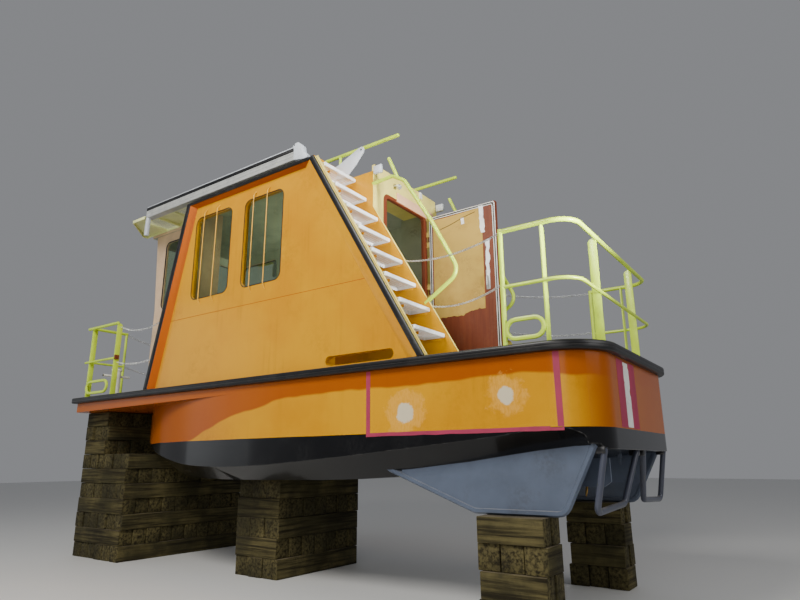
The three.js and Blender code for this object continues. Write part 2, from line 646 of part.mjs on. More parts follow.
function bollard() {
  const { radius, top, pin, pinRadius, pinHalf } = BOLLARD;
  return joined([
    post(0, 0, GAP, top, radius, 12), post(0, 0, top - 25, top, radius + 12, 12), post(0, 0, GAP, 15, radius + 30, 12),
    tube([[0, -pinHalf, pin], [0, pinHalf, pin]], pinRadius),
  ]);
}

// A hanging chain is a plain round bar along its sagging line
function chain(from, to, sag, steps = 8) {
  const points = [];
  for (let i = 0; i <= steps; i += 1) {
    const t = i / steps;
    const [x, y, z] = from.map((value, axis) => value + (to[axis] - value) * t);
    points.push([x, y, z - 4 * sag * t * (1 - t)]);
  }
  const stations = points.map(([x, y, z]) => new THREE.Vector3(x, y, z));
  const section = Array.from({ length: 6 }, (_, i) => [LINK * Math.cos(i * Math.PI / 3), LINK * Math.sin(i * Math.PI / 3)]);
  return solidOf(new THREE.ExtrudeGeometry(shapeOf(section), {
    steps, extrudePath: new Route(stations), bevelEnabled: false,
  }));
}

function stringerEdge(z) {
  return STRINGER.foot + (AFT.x - STRINGER.foot) * z / STRINGER.kink;
}

// Columns: name, side view level at the post, level at the house, sag
const AFT_CHAINS = [['upper', 985, 1150, 70], ['lower', 520, 600, 60]];
const BOW_CHAINS = [['upper', 955, 950, 110], ['lower', 450, 440, 60]];

function aftChain(s, atPost, atHouse, sag, stringerCut) {
  const middle = (STRINGER.inner + STRINGER.outer) / 2;
  const { postA, y } = STERN;
  return chain([postA, s * y, atPost], [stringerEdge(atHouse) + 20, s * middle, atHouse], sag)
    .subtract(post(postA, s * y, 0, RAIL_TOP, TUBE + GAP)).subtract(stringerCut);
}

function bowSideChain(s, atPost, atHouse, sag, wallCut) {
  const y = s * (BOW.y - 45);
  const face = BOW.aft - STERN.plate / 2 - GAP;
  return chain([BOW.aft, y, atPost], [sideEdge(SIDE.fore, atHouse) - 20, s * 1150, atHouse], sag)
    .subtract(block([face, face + 60], [y - 60, y + 60], [0, RAIL_TOP])).subtract(wallCut);
}

function bowCentreChain(level, sag) {
  const { fore, inner } = BOW;
  const line = chain([fore, inner, level], [fore, -inner, level], sag);
  return SIDES.reduce((left, [, s]) => left.subtract(post(fore, s * inner, 0, RAIL_TOP, TUBE * 0.85 + GAP)), line);
}

// Cribs: close stacks of square timbers, layer on layer, whose ends stand out crosswise and lengthwise by turns
function crib(bottom, top, footprints, first = 0) {
  const height = (top - bottom) / footprints.length;
  return joined(footprints.map(([[x0, x1], [y0, y1]], i) => {
    const lengthwise = (i + first) % 2;
    const [inX, inY] = lengthwise ? [0, TIMBER_END] : [TIMBER_END, 0];
    const low = bottom + height * i - (i > 0 ? BITE : 0);
    return block([x0 + inX, x1 - inX], [y0 + inY, y1 - inY], [low, bottom + height * (i + 1)]);
  }));
}

function bowCrib() {
  const { aft, stem, fore, half, layers, under } = BOW_CRIB;
  const across = [-half, half];
  const footprints = Array.from({ length: layers }, (_, i) => [[i < under ? aft : stem, fore], across]);
  return crib(FLOOR, -DECK_SLAB.bow - GAP, footprints);
}

function midCrib() {
  const { aft, fore, half, layers } = MID_CRIB;
  return crib(FLOOR, HULL_STATIONS[5][3] - GAP, Array(layers).fill([[aft, fore], [-half, half]]));
}

function aftCrib(s) {
  const { aft, fore, half, layers } = AFT_CRIB;
  const ys = [s * SKEG.y - half, s * SKEG.y + half];
  return crib(FLOOR, SKEG.outline[1][1] - SKEG.rim - GAP, Array(layers).fill([[aft, fore], ys]));
}

// Scene graph
const boat = new THREE.Group();
boat.position.set(-LENGTH / 2, 0, -FLOOR);

function put(name, solid, colour, position = [0, 0, 0], tilt = 0) {
  const [color, roughness, metalness] = COLOURS[colour];
  const mesh = new THREE.Mesh(geometryOf(solid), new THREE.MeshStandardMaterial({ color, roughness, metalness }));
  mesh.name = name;
  mesh.position.set(...position);
  mesh.rotation.y = tilt;
  boat.add(mesh);
}

const hull = hullSolid();
const hullCut = moved(hull, 0, 0, -GAP);
put('hull', hull, 'orange');
put('rub_rail', rubRail(), 'black');
put('stern_rail', sternRail(), 'lime');
put('aft_wall', aftWall(), 'orange');
put('aft_door', aftDoor(), 'primer', [DOOR.x, DOOR.y, 0]);
put('front_wall', frontWall(), 'beige');
put('roof_deck', roofDeck(), 'orange');
put('lever_plate', leverPlate(), 'aluminium');
put('crib_bow', bowCrib(), 'timber');
put('crib_mid', midCrib(), 'timber');

for (const [name, s] of SIDES) {
  const tilt = -THREE.MathUtils.degToRad(SHAFT.tilt);
  put(`skeg_${name}`, skeg(s, hullCut), 'blueGrey');
  put(`guard_hoop_${name}`, guardHoop(s, hullCut), 'blueGrey');
  put(`shaft_bracket_${name}`, shaftBracket(s, hullCut), 'black');
  put(`propeller_${name}`, propeller(), 'bronze', [PROPELLER.x, s * SHAFT.y, PROPELLER.z], tilt);
  put(`crib_aft_${name}`, aftCrib(s), 'timber');
  put(`rudder_${name}`, rudder(), 'blueGrey', [RUDDER.stock, s * SHAFT.y, 0]);
  const wall = sideWall(s);
  const wallCut = moved(wall, GAP, 0, 0);
  put(`side_wall_${name}`, wall, 'orange');
  for (const [place, aft, fore] of WINDOWS) {
    put(`side_window_${place}_${name}`, sideWindow(s, aft, fore), 'glass');
  }
  put(`front_side_${name}`, frontSide(s), 'beige');
  put(`front_side_window_${name}`, frontSideWindow(s), 'glass');
  put(`front_window_${name}`, frontWindow(s), 'glass');
  const stringer = stairWall(s);
  const stringerCut = moved(stringer, -GAP, 0, 0).add(block([AFT.x - GAP, AFT.x + 80], [s * 600, s * 720], [0, 2500]));
  put(`stair_wall_${name}`, stringer, 'orange');
  put(`stair_treads_${name}`, stairTreads(s), 'tread');
  put(`handrail_${name}`, handrail(s, stringerCut), 'lime');
  put(`roof_fender_${name}`, roofFender(s), 'aluminium');
  put(`walkway_${name}`, walkway(s), 'lime');
  put(`roof_rail_${name}`, roofRail(s), 'lime');
  put(`bow_rail_${name}`, bowRail(s), 'lime');
  put(`bollard_${name}`, bollard(), 'white', [BOLLARD.x, s * BOLLARD.y, 0]);
  for (const [level, atPost, atHouse, sag] of AFT_CHAINS) {
    put(`chain_aft_${level}_${name}`, aftChain(s, atPost, atHouse, sag, stringerCut), 'chain');
  }
  for (const [level, atPost, atHouse, sag] of BOW_CHAINS) {
    put(`chain_bow_${level}_${name}`, bowSideChain(s, atPost, atHouse, sag, wallCut), 'chain');
  }
}
put('chain_centre_upper', bowCentreChain(RAIL_TOP - TUBE - 10, 110), 'chain');
put('chain_centre_lower', bowCentreChain(RAIL_MID, 90), 'chain');

export default boat;
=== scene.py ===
# Escape boat on timber cribs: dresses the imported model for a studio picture.
# Metres, +X to the bow, +Y to port, +Z up.
import math
import random
import bpy
import bmesh
from mathutils import Matrix, Vector


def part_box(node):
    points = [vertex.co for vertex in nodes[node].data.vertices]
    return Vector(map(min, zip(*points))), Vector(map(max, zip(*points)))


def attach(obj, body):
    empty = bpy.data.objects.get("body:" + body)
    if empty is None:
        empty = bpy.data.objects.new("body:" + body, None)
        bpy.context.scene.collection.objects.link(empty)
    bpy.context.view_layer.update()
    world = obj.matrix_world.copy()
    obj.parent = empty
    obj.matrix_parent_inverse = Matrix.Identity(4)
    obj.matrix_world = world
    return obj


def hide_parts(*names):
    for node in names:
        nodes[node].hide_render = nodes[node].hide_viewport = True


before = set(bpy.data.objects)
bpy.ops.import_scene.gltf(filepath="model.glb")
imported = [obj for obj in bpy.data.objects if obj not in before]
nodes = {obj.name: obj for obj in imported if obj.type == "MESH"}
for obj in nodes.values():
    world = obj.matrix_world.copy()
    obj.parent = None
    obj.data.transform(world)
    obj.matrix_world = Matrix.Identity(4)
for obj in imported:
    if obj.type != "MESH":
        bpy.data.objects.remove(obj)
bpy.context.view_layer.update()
random.seed(7)

railLow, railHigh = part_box("rub_rail")
sternX = railLow.x  # aftmost point of the rub rail
railTop = railHigh.z  # level of the deck and of the rub rail's top
upward = Vector((0, 0, 1))
sides = (("port", 1), ("starboard", -1))


def at(x, y, z):  # metres forward of the stern, to port, and above the rub rail's top
    return Vector((sternX + x, y, railTop + z))


def sideView(points, y):  # points (forward, up) at one distance to port
    return [at(x, y, z) for x, z in points]


def toPort(width):
    return Vector((0, width, 0))


print("frame loaded:", len(nodes), "nodes")


# Bmesh helpers
def joinedRoute(points, bend, steps=6):
    # corners of a route, each turned into an arc of the given radius
    route = [points[0].copy()]
    for before, corner, after in zip(points, points[1:], points[2:]):
        back, ahead = (before - corner).normalized(), (after - corner).normalized()
        half = back.angle(ahead) / 2
        if half > math.radians(89.5):  # nearly straight
            route.append(corner.copy())
            continue
        reach = min(bend / math.tan(half), 0.49 * min((before - corner).length, (after - corner).length))
        radius = reach * math.tan(half)
        centre = corner + (back + ahead).normalized() * (radius / math.sin(half))
        first, last = corner + back * reach - centre, corner + ahead * reach - centre
        axis, turn = first.cross(last).normalized(), first.angle(last)
        for step in range(steps + 1):
            route.append(centre + Matrix.Rotation(turn * step / steps, 3, axis) @ first)
    return route + [points[-1].copy()]


def newVerts(geometry):
    return [v for v in geometry if isinstance(v, bmesh.types.BMVert)]


def matched(old, fresh):
    # the extruded vertex that each old vertex grew
    freshSet = set(fresh)
    return [next(e.other_vert(v) for e in v.link_edges if e.other_vert(v) in freshSet) for v in old]


def sweep(bm, route, section, closed=False):
    # carries a ring of points (side, up) along the route, turning it as little as possible
    count, last = len(route), len(route) - 1
    tangents = []
    for i in range(count):
        ahead = route[(i + 1) % count] if closed else route[min(i + 1, last)]
        back = route[i - 1] if closed else route[max(i - 1, 0)]
        tangents.append((ahead - back).normalized())
    up = upward if abs(tangents[0].z) < 0.9 else Vector((1, 0, 0))
    side = tangents[0].cross(up).normalized()
    ring = None
    for origin, tangent in zip(route, tangents):
        side = (side - tangent * side.dot(tangent)).normalized()
        rise = side.cross(tangent)
        places = [origin + side * a + rise * b for a, b in section]
        if ring:
            verts = matched(verts, newVerts(bmesh.ops.extrude_edge_only(bm, edges=ring)["geom"]))
            for vert, spot in zip(verts, places):
                vert.co = spot
            ring = [bm.edges.get(pair) for pair in zip(verts, verts[1:] + verts[:1])]
        else:
            verts = start = [bm.verts.new(spot) for spot in places]
            ring = first = [bm.edges.new(pair) for pair in zip(verts, verts[1:] + verts[:1])]
    if closed:
        bmesh.ops.bridge_loops(bm, edges=ring + first)
    else:
        bm.faces.new(start)
        bm.faces.new(verts[::-1])


def circle(radius, count):
    angles = [2 * math.pi * i / count for i in range(count)]
    return [(radius * math.cos(a), radius * math.sin(a)) for a in angles]


def pipe(bm, points, radius, bend=0.0, count=14, steps=6):
    sweep(bm, joinedRoute(points, bend, steps) if bend else points, circle(radius, count))


def bevelled(bm, edges, width, segments=2):
    return bmesh.ops.bevel(bm, geom=list(edges), offset=width, segments=segments, affect="EDGES",
                           profile=0.5, material=-1)["verts"]


def bar(bm, low, high, edge=0.0, segments=2):
    # a rectangular bar between two corners, with its edges rounded
    low, high = Vector(map(min, low, high)), Vector(map(max, low, high))
    place = Matrix.Translation((low + high) / 2) @ Matrix.Diagonal((*(high - low), 1))
    made = bmesh.ops.create_cube(bm, size=1, matrix=place)["verts"]
    return bevelled(bm, {e for v in made for e in v.link_edges}, edge, segments) if edge else made


def thickened(bm, faces, thickness):
    # flat faces given thickness along a vector; returns the new solid's vertices
    old = {v for f in faces for v in f.verts}
    fresh = newVerts(bmesh.ops.extrude_face_region(bm, geom=faces, use_keep_orig=True)["geom"])
    bmesh.ops.translate(bm, verts=fresh, vec=thickness)
    verts = old | set(fresh)
    bmesh.ops.recalc_face_normals(bm, faces=list({f for v in verts for f in v.link_faces}))
    return verts


def prism(bm, outline, thickness, edge=0.0, segments=2):
    # a flat outline of points, given thickness along a vector
    verts = thickened(bm, [bm.faces.new([bm.verts.new(p) for p in outline])], thickness)
    if edge:
        bevelled(bm, {e for v in verts for e in v.link_edges}, edge, segments)


def ringPlate(bm, outer, inner, place, thickness, edge=0.0):
    # a flat ring between two outlines of the same number of points
    loops = []
    for outline in (outer, inner):
        verts = [bm.verts.new(place(a, b)) for a, b in outline]
        loops += [bm.edges.new((verts[i - 1], verts[i])) for i in range(len(verts))]
    verts = thickened(bm, bmesh.ops.bridge_loops(bm, edges=loops)["faces"], thickness)
    if edge:
        bevelled(bm, {e for v in verts for e in v.link_edges if e.calc_face_angle(0) > 1.0}, edge)


def arcPoints(cx, cy, radius, start, end, steps):
    angles = [math.radians(start + (end - start) * i / steps) for i in range(steps + 1)]
    return [(cx + radius * math.cos(a), cy + radius * math.sin(a)) for a in angles]


def roundedRect(left, bottom, right, top, radius, steps=5):
    corners = ((right - radius, bottom + radius, -90), (right - radius, top - radius, 0),
               (left + radius, top - radius, 90), (left + radius, bottom + radius, 180))
    return [p for cx, cy, start in corners for p in arcPoints(cx, cy, radius, start, start + 90, steps)]


def swelled(rect, margin, steps=8):  # a rounded rectangle grown by a margin all round
    left, bottom, right, top, radius = rect
    return roundedRect(left - margin, bottom - margin, right + margin, top + margin, radius + margin, steps)


def stadium(low, high, bottom, top, steps=8):
    # a slot's outline with round ends
    radius, level = (top - bottom) / 2, (top + bottom) / 2
    ends = ((high - radius, -90, 90), (low + radius, 90, 270))
    return [p for x, start, end in ends for p in arcPoints(x, level, radius, start, end, steps)]


def lathe(bm, profile, foot, count=32):
    # profile: (radius, level) pairs turned round an upright axis
    verts = [bm.verts.new(foot + Vector((r, 0, z))) for r, z in profile]
    edges = [bm.edges.new(pair) for pair in zip(verts, verts[1:])]
    bmesh.ops.spin(bm, geom=verts + edges, cent=foot, axis=upward, angle=2 * math.pi, steps=count,
                   use_merge=True)
    bmesh.ops.remove_doubles(bm, verts=bm.verts, dist=1e-5)


def meshOf(name, bm):
    mesh = bpy.data.meshes.new(name)
    bm.to_mesh(mesh)
    bm.free()
    return mesh


def joined(bm, other):
    # moves another bmesh into this one
    mesh = meshOf("part", other)
    bm.from_mesh(mesh)
    bpy.data.meshes.remove(mesh)


def linked(name, data):
    thing = bpy.data.objects.new(name, data)
    bpy.context.scene.collection.objects.link(thing)
    return thing


def finished(name, bm, materials, node=None, body="boat", smooth=32, clean=True):
    # a bmesh becomes a piece that rides on a body
    if clean:
        bmesh.ops.remove_doubles(bm, verts=bm.verts, dist=1e-5)
        bmesh.ops.recalc_face_normals(bm, faces=bm.faces)
    mesh = meshOf(name, bm)
    piece = linked(name, mesh)
    for each in materials if isinstance(materials, list) else [materials]:
        mesh.materials.append(each)
    mesh.polygons.foreach_set("use_smooth", [True] * len(mesh.polygons))
    mesh.set_sharp_from_angle(angle=math.radians(smooth))
    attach(piece, body)
    if node:
        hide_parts(node)
    return piece


def dressed(name, node, materials, edge=0.003, body="boat", smooth=32, pick=None, cut=None):
    # the node's own shape with its edges softened; a cut splits its faces at a place along the boat
    bm = bmesh.new()
    bm.from_mesh(nodes[node].data)
    bmesh.ops.remove_doubles(bm, verts=bm.verts, dist=2e-5)
    bmesh.ops.dissolve_limit(bm, angle_limit=math.radians(0.4), verts=bm.verts, edges=bm.edges,
                             delimit=set())
    if cut:
        geometry = bm.verts[:] + bm.edges[:] + bm.faces[:]
        bmesh.ops.bisect_plane(bm, geom=geometry, plane_co=at(cut, 0, 0), plane_no=(1, 0, 0))
    for face in bm.faces:
        face.material_index = pick(face) if pick else 0
    piece = finished(name, bm, materials, node, body, smooth, clean=False)
    if edge:
        soften = piece.modifiers.new("edge", "BEVEL")
        soften.width = edge
        soften.segments = 2
        soften.limit_method = "ANGLE"
        soften.angle_limit = math.radians(30)
        soften.harden_normals = False
    piece.modifiers.new("normals", "WEIGHTED_NORMAL").keep_sharp = True


# Camera at the photograph's viewing angle: aft and to port, low over the floor
camera = {"place": (-1.30, 5.66, -0.908), "heading": (0.5755, -0.8178), "pitch": 15.064, "roll": -0.3523,
          "lens": 26.93, "sensor": 36}


def makeCamera(settings):
    data = bpy.data.cameras.new("photo_camera")
    data.lens = settings["lens"]
    data.sensor_width = settings["sensor"]
    holder = linked("photo_camera", data)
    pitch, roll = math.radians(settings["pitch"]), math.radians(settings["roll"])
    forward = Vector((*settings["heading"], 0)).normalized() * math.cos(pitch) + upward * math.sin(pitch)
    level = forward.cross(upward).normalized()
    upright = level.cross(forward)
    right = level * math.cos(roll) + upright * math.sin(roll)
    up = upright * math.cos(roll) - level * math.sin(roll)
    turned = Matrix((right, up, -forward)).transposed().to_4x4()
    holder.matrix_world = Matrix.Translation(at(*settings["place"])) @ turned
    bpy.context.scene.camera = holder


makeCamera(camera)


# Shader nodes
def paint(red, green, blue):  # a colour as seen, 0 to 255, turned linear
    return tuple((c / 255) ** 2.2 for c in (red, green, blue)) + (1,)


def wire(tree, source, target):
    # a socket is linked, anything else becomes the socket's own value
    if isinstance(source, bpy.types.NodeSocket):
        tree.links.new(source, target)
    else:
        target.default_value = source


def node(tree, kind, settings=None, **inputs):
    made = tree.nodes.new("ShaderNode" + kind)
    for label, value in (settings or {}).items():
        setattr(made, label, value)
    for label, value in inputs.items():
        wire(tree, value, made.inputs[label])
    return made


def compared(tree, operation, first, second):  # one number from two vectors
    made = node(tree, "VectorMath", {"operation": operation})
    wire(tree, first, made.inputs[0])
    wire(tree, second, made.inputs[1])
    return made.outputs["Value"]


def maths(tree, operation, result, *others, clamp=False):
    # the operation taken along the values in turn; a clamp keeps the last result from 0 to 1
    for i, other in enumerate(others, 1):
        made = node(tree, "Math", {"operation": operation, "use_clamp": clamp and i == len(others)})
        wire(tree, result, made.inputs[0])
        wire(tree, other, made.inputs[1])
        result = made.outputs[0]
    return result


def noise(tree, vector, scale, detail=4.0, roughness=0.55):
    return node(tree, "TexNoise", Vector=vector, Scale=scale, Detail=detail,
                Roughness=roughness).outputs["Fac"]


def ramp(tree, value, low, high, bottom=0.0, top=1.0):
    made = node(tree, "MapRange", {"interpolation_type": "SMOOTHSTEP"})
    limits = {"Value": value, "From Min": low, "From Max": high, "To Min": bottom, "To Max": top}
    for label, source in limits.items():
        wire(tree, source, made.inputs[label])
    return made.outputs[0]


def blended(tree, mask, first, second):
    made = node(tree, "Mix", {"data_type": "RGBA"})
    for place, source in ((0, mask), (6, first), (7, second)):
        wire(tree, source, made.inputs[place])
    return made.outputs[2]


def stretched(tree, vector, scale, detail, roughness=0.55):  # noise drawn out along one direction
    return noise(tree, node(tree, "Mapping", Vector=vector, Scale=scale).outputs[0], 1.0, detail, roughness)


# Shader node groups shared by the materials
def newGroup(name, vectors, colours, outputs, numbers):
    # a group's numbers have values of their own, its vectors and colours come from outside
    group = bpy.data.node_groups.new(name, "ShaderNodeTree")
    kinds = [(label, "Vector") for label in vectors] + [(label, "Color") for label in colours]
    for label, kind in kinds + [(label, "Float") for label in numbers]:
        made = group.interface.new_socket(name=label, in_out="INPUT", socket_type="NodeSocket" + kind)
        if label in numbers:
            made.default_value = numbers[label]
    for label in outputs:
        kind = "NodeSocketColor" if label == "Colour" else "NodeSocketFloat"
        group.interface.new_socket(name=label, in_out="OUTPUT", socket_type=kind)
    return group, group.nodes.new("NodeGroupInput").outputs, group.nodes.new("NodeGroupOutput").inputs


def tintGroup(name, other, makeMask, **numbers):
    # a group that mixes another colour in by a mask, and gives out both
    group, given, result = newGroup(name, ["Vector"], ["Colour", other], ["Colour", "Mask"], numbers)
    mask = makeMask(group, given)
    wire(group, blended(group, mask, given["Colour"], given[other]), result["Colour"])
    wire(group, mask, result["Mask"])
    return group


def mottleMask(tree, given):  # slow change from one colour to another
    return ramp(tree, noise(tree, given["Vector"], given["Scale"], 6), given["Low"], given["High"])


def grimeMask(tree, given):  # dirt in patches, broken up by a finer noise
    broad = ramp(tree, noise(tree, given["Vector"], given["Scale"], 5), 0.48, 0.72)
    finer = maths(tree, "MULTIPLY", given["Scale"], 11.0)
    fine = ramp(tree, noise(tree, given["Vector"], finer, 4, 0.7), 0.36, 0.66)
    return maths(tree, "MULTIPLY", broad, fine, given["Amount"], clamp=True)


def edgeMask(tree, given):  # paint worn through along the edges; on the hull's chine the same mask paints a highlight
    soft = node(tree, "Bevel", {"samples": 4}, Radius=given["Width"]).outputs[0]
    turned = compared(tree, "DOT_PRODUCT", soft, node(tree, "NewGeometry").outputs["Normal"])
    edge = ramp(tree, turned, 0.99, 0.9)
    broken = ramp(tree, noise(tree, given["Vector"], 38.0, 5, 0.7), 0.42, 0.6)
    return maths(tree, "MULTIPLY", edge, broken, given["Amount"], clamp=True)


def dustMask(tree, given):  # dust settled on what faces up
    facing = node(tree, "SeparateXYZ", Vector=node(tree, "NewGeometry").outputs["Normal"]).outputs["Z"]
    lying = ramp(tree, facing, 0.55, 0.98)
    broken = ramp(tree, noise(tree, given["Vector"], 7.0, 6, 0.65), 0.3, 0.7, 0.35, 1.0)
    return maths(tree, "MULTIPLY", lying, broken, given["Amount"], clamp=True)


def streakMask(tree, given):  # dirt run down from above
    runs = ramp(tree, stretched(tree, given["Vector"], (14, 14, 0.9), 5, 0.6), 0.5, 0.75)
    broad = ramp(tree, noise(tree, given["Vector"], 1.3, 3), 0.4, 0.7)
    return maths(tree, "MULTIPLY", runs, broad, given["Amount"], clamp=True)


def reliefGroup(**numbers):  # height for a Bump node: broad waves and fine grain
    group, given, result = newGroup("relief", ["Vector"], [], ["Height"], numbers)
    broad = noise(group, given["Vector"], given["Broad"], 2, 0.4)
    fine = noise(group, given["Vector"], given["Fine"], 5, 0.6)
    wire(group, maths(group, "ADD", broad, maths(group, "MULTIPLY", fine, given["Share"])),
         result["Height"])
    return group


def spotGroup(**numbers):  # a ragged round spot about a point, one at its middle
    group, given, result = newGroup("spot", ["Vector", "Centre"], [], ["Mask"], numbers)
    apart = compared(group, "DISTANCE", given["Vector"], given["Centre"])
    ragged = maths(group, "SUBTRACT", noise(group, given["Vector"], 9.0, 5, 0.65), 0.5)
    distance = maths(group, "ADD", apart, maths(group, "MULTIPLY", ragged, given["Ragged"]))
    rim = maths(group, "ADD", given["Radius"], given["Soft"])
    wire(group, ramp(group, distance, rim, given["Radius"]), result["Mask"])
    return group


mottle = tintGroup("mottle", "Other", mottleMask, Scale=4, Low=0.4, High=0.65)
grime = tintGroup("grime", "Dirt", grimeMask, Scale=3, Amount=0.5)
edgeWearAndHighlight = tintGroup("edge_wear_and_highlight", "Worn", edgeMask, Width=0.004, Amount=0.6)
dust = tintGroup("dust", "Dust", dustMask, Amount=0.5)
streaks = tintGroup("streaks", "Dirt", streakMask, Amount=0.4)
relief = reliefGroup(Broad=3, Fine=60, Share=0.3)
spot = spotGroup(Radius=0.1, Soft=0.05, Ragged=0.05)


def put(tree, group, where, **inputs):  # a shared group in a material
    made = tree.nodes.new("ShaderNodeGroup")
    made.node_tree = group
    for label, value in {"Vector": where, **inputs}.items():
        wire(tree, value, made.inputs[label])
    return made.outputs


def newMaterial(name, coat=0.0, specular=0.5):
    material = bpy.data.materials.new(name)
    material.use_nodes = True
    tree = material.node_tree
    sockets = tree.nodes["Principled BSDF"].inputs
    sockets["Coat Weight"].default_value = coat
    sockets["Coat Roughness"].default_value = 0.08
    sockets["Specular IOR Level"].default_value = specular
    return material, tree, sockets, node(tree, "TexCoord").outputs["Object"]


def surfaced(tree, sockets, colour, roughness, height=None, distance=0.0, strength=0.0):
    wire(tree, colour, sockets["Base Color"])
    wire(tree, roughness, sockets["Roughness"])
    if height:
        bump = node(tree, "Bump", Height=height, Distance=distance, Strength=strength)
        wire(tree, bump.outputs[0], sockets["Normal"])


def dulled(tree, first, second, low, high, full=1.0):  # roughness that two masks raise together
    return ramp(tree, maths(tree, "ADD", first["Mask"], second["Mask"]), 0, full, low, high)


# Paints and metals
# the darker topside tone and the level of its lower edge below the rail top are painted shade under the rub
# rail
orange = {"bright": paint(208, 148, 0), "deep": paint(198, 134, 0), "dirt": paint(120, 72, 20),
          "shadeTone": paint(150, 62, 0), "filler": paint(206, 198, 172), "sanded": paint(226, 166, 70),
          "band": (paint(170, 84, 0), paint(164, 80, 0)), "paintLine": -0.664, "shadeFoot": -0.255,
          "patches": ((1.797, 1.19, -0.488, 0.080), (0.812, 1.19, -0.398, 0.062))}  # place and radius
dirtGrey, dustPale = paint(58, 52, 46), paint(176, 168, 156)


def orangePaint(name, bright, deep, roughness=0.3, coat=0.0, specular=0.25):
    material, tree, sockets, where = newMaterial(name, coat, specular)
    toned = put(tree, mottle, where, Colour=bright, Other=deep, Scale=1.1, Low=0.38, High=0.7)
    run = put(tree, streaks, where, Colour=toned["Colour"], Dirt=orange["dirt"], Amount=0.2)
    soiled = put(tree, grime, where, Colour=run["Colour"], Dirt=orange["dirt"], Scale=1.9, Amount=0.22)
    settled = put(tree, dust, where, Colour=soiled["Colour"], Dust=dustPale, Amount=0.4)
    height = put(tree, relief, where, Broad=1.6, Fine=230.0, Share=0.012)["Height"]
    surfaced(tree, sockets, settled["Colour"], dulled(tree, soiled, settled, roughness, 0.6), height, 0.006,
             0.35)
    return material, tree, sockets, where, settled["Colour"]


def hullPaint():  # painted shade under the rub rail and over the bow, sanded filler spots on the topsides, black below the paint line with a painted highlight along the chine
    paintTones = orange["bright"], orange["deep"]
    material, tree, sockets, where, upper = orangePaint("hull_paint", *paintTones, specular=0.18)
    part = node(tree, "SeparateXYZ", Vector=where).outputs
    along, height = maths(tree, "SUBTRACT", part["X"], sternX), part["Z"]
    sway = maths(tree, "MULTIPLY", maths(tree, "SUBTRACT", noise(tree, where, 1.3, 2), 0.5), 0.16)
    sinking = maths(tree, "MULTIPLY", ramp(tree, along, 3.0, 6.8),
                    0.72)  # the painted shade's edge falls to the bow
    # painted shade: above this wavering edge the topsides take the darker shade tone, the lit area below
    # keeps the paint's own colour
    edge = maths(tree, "SUBTRACT", maths(tree, "ADD", sway, railTop + orange["shadeFoot"]), sinking)
    litArea = ramp(tree, maths(tree, "SUBTRACT", height, edge), 0.014, -0.014)
    litArea = maths(tree, "MULTIPLY", litArea, ramp(tree, along, 0.02, 0.34))
    upper = blended(tree, litArea, blended(tree, 0.85, upper, orange["shadeTone"]), upper)
    for x, y, z, radius in orange["patches"]:
        middle = tuple(at(x, y, z))
        halo = put(tree, spot, where, Centre=middle, Radius=radius * 2.2, Soft=0.05, Ragged=0.30)["Mask"]
        core = put(tree, spot, where, Centre=middle, Radius=radius, Soft=0.02, Ragged=0.11)["Mask"]
        scratch = ramp(tree, stretched(tree, where, (60, 6, 22), 3), 0.35, 0.6, 0.55, 1.0)
        upper = blended(tree, maths(tree, "MULTIPLY", scratch, 0.7, halo), upper, orange["sanded"])
        upper = blended(tree, maths(tree, "MULTIPLY", core, 0.92), upper, orange["filler"])
    wave = maths(tree, "MULTIPLY", maths(tree, "SUBTRACT", noise(tree, where, 2.2, 5), 0.5), 0.008)
    line = railTop + orange["paintLine"]
    below = ramp(tree, maths(tree, "ADD", height, wave), line + 0.002, line - 0.002)
    black = put(tree, grime, where, Colour=paint(17, 17, 19), Dirt=paint(62, 62, 62), Scale=2.6,
                Amount=0.16)
    run = put(tree, streaks, where, Colour=black["Colour"], Dirt=paint(70, 70, 68), Amount=0.12)
    # painted highlight: a pale line along the chine's edge on the black bottom
    chineHighlight = put(tree, edgeWearAndHighlight, where, Colour=run["Colour"], Worn=paint(118, 118, 116), Width=0.013,
                Amount=0.6)
    surfaced(tree, sockets, blended(tree, below, upper, chineHighlight["Colour"]),
             dulled(tree, black, run, 0.24, 0.62, 0.9))
    wire(tree, maths(tree, "MULTIPLY", below, 0.35), sockets["Coat Weight"])
    return material


def plainPaint(name, colour, roughness, coat, worn, dirt, wear, dusty, grain):
    # a paint with worn edges, dirt and dust
    material, tree, sockets, where = newMaterial(name, coat)
    colour = paint(*colour)
    deeper = tuple(c * 0.86 for c in colour[:3]) + (1,)
    toned = put(tree, mottle, where, Colour=colour, Other=deeper, Scale=5.0, Low=0.35, High=0.7)
    edges = put(tree, edgeWearAndHighlight, where, Colour=toned["Colour"], Worn=paint(*worn), Width=0.004, Amount=wear)
    soiled = put(tree, grime, where, Colour=edges["Colour"], Dirt=dirtGrey, Scale=3.2, Amount=dirt)
    settled = put(tree, dust, where, Colour=soiled["Colour"], Dust=dustPale, Amount=dusty)
    height = put(tree, relief, where, Broad=6.0, Fine=180.0, Share=0.2)["Height"]
    rough = dulled(tree, soiled, settled, roughness, min(0.9, roughness + 0.35))
    surfaced(tree, sockets, settled["Colour"], rough, height, grain, 0.25)
    return material


def rubber():  # satin black with grey scuffs
    material, tree, sockets, where = newMaterial("black_rubber", specular=0.45)
    toned = put(tree, mottle, where, Colour=paint(17, 17, 19), Other=paint(26, 26, 28), Scale=3.0, Low=0.35,
                High=0.7)
    scuffed = put(tree, grime, where, Colour=toned["Colour"], Dirt=paint(84, 82, 80), Scale=5.0,
                  Amount=0.28)
    settled = put(tree, dust, where, Colour=scuffed["Colour"], Dust=dustPale, Amount=0.3)
    height = put(tree, relief, where, Broad=12.0, Fine=400.0, Share=0.3)["Height"]
    surfaced(tree, sockets, settled["Colour"], dulled(tree, scuffed, settled, 0.38, 0.75, 0.8), height,
             0.001, 0.4)
    return material


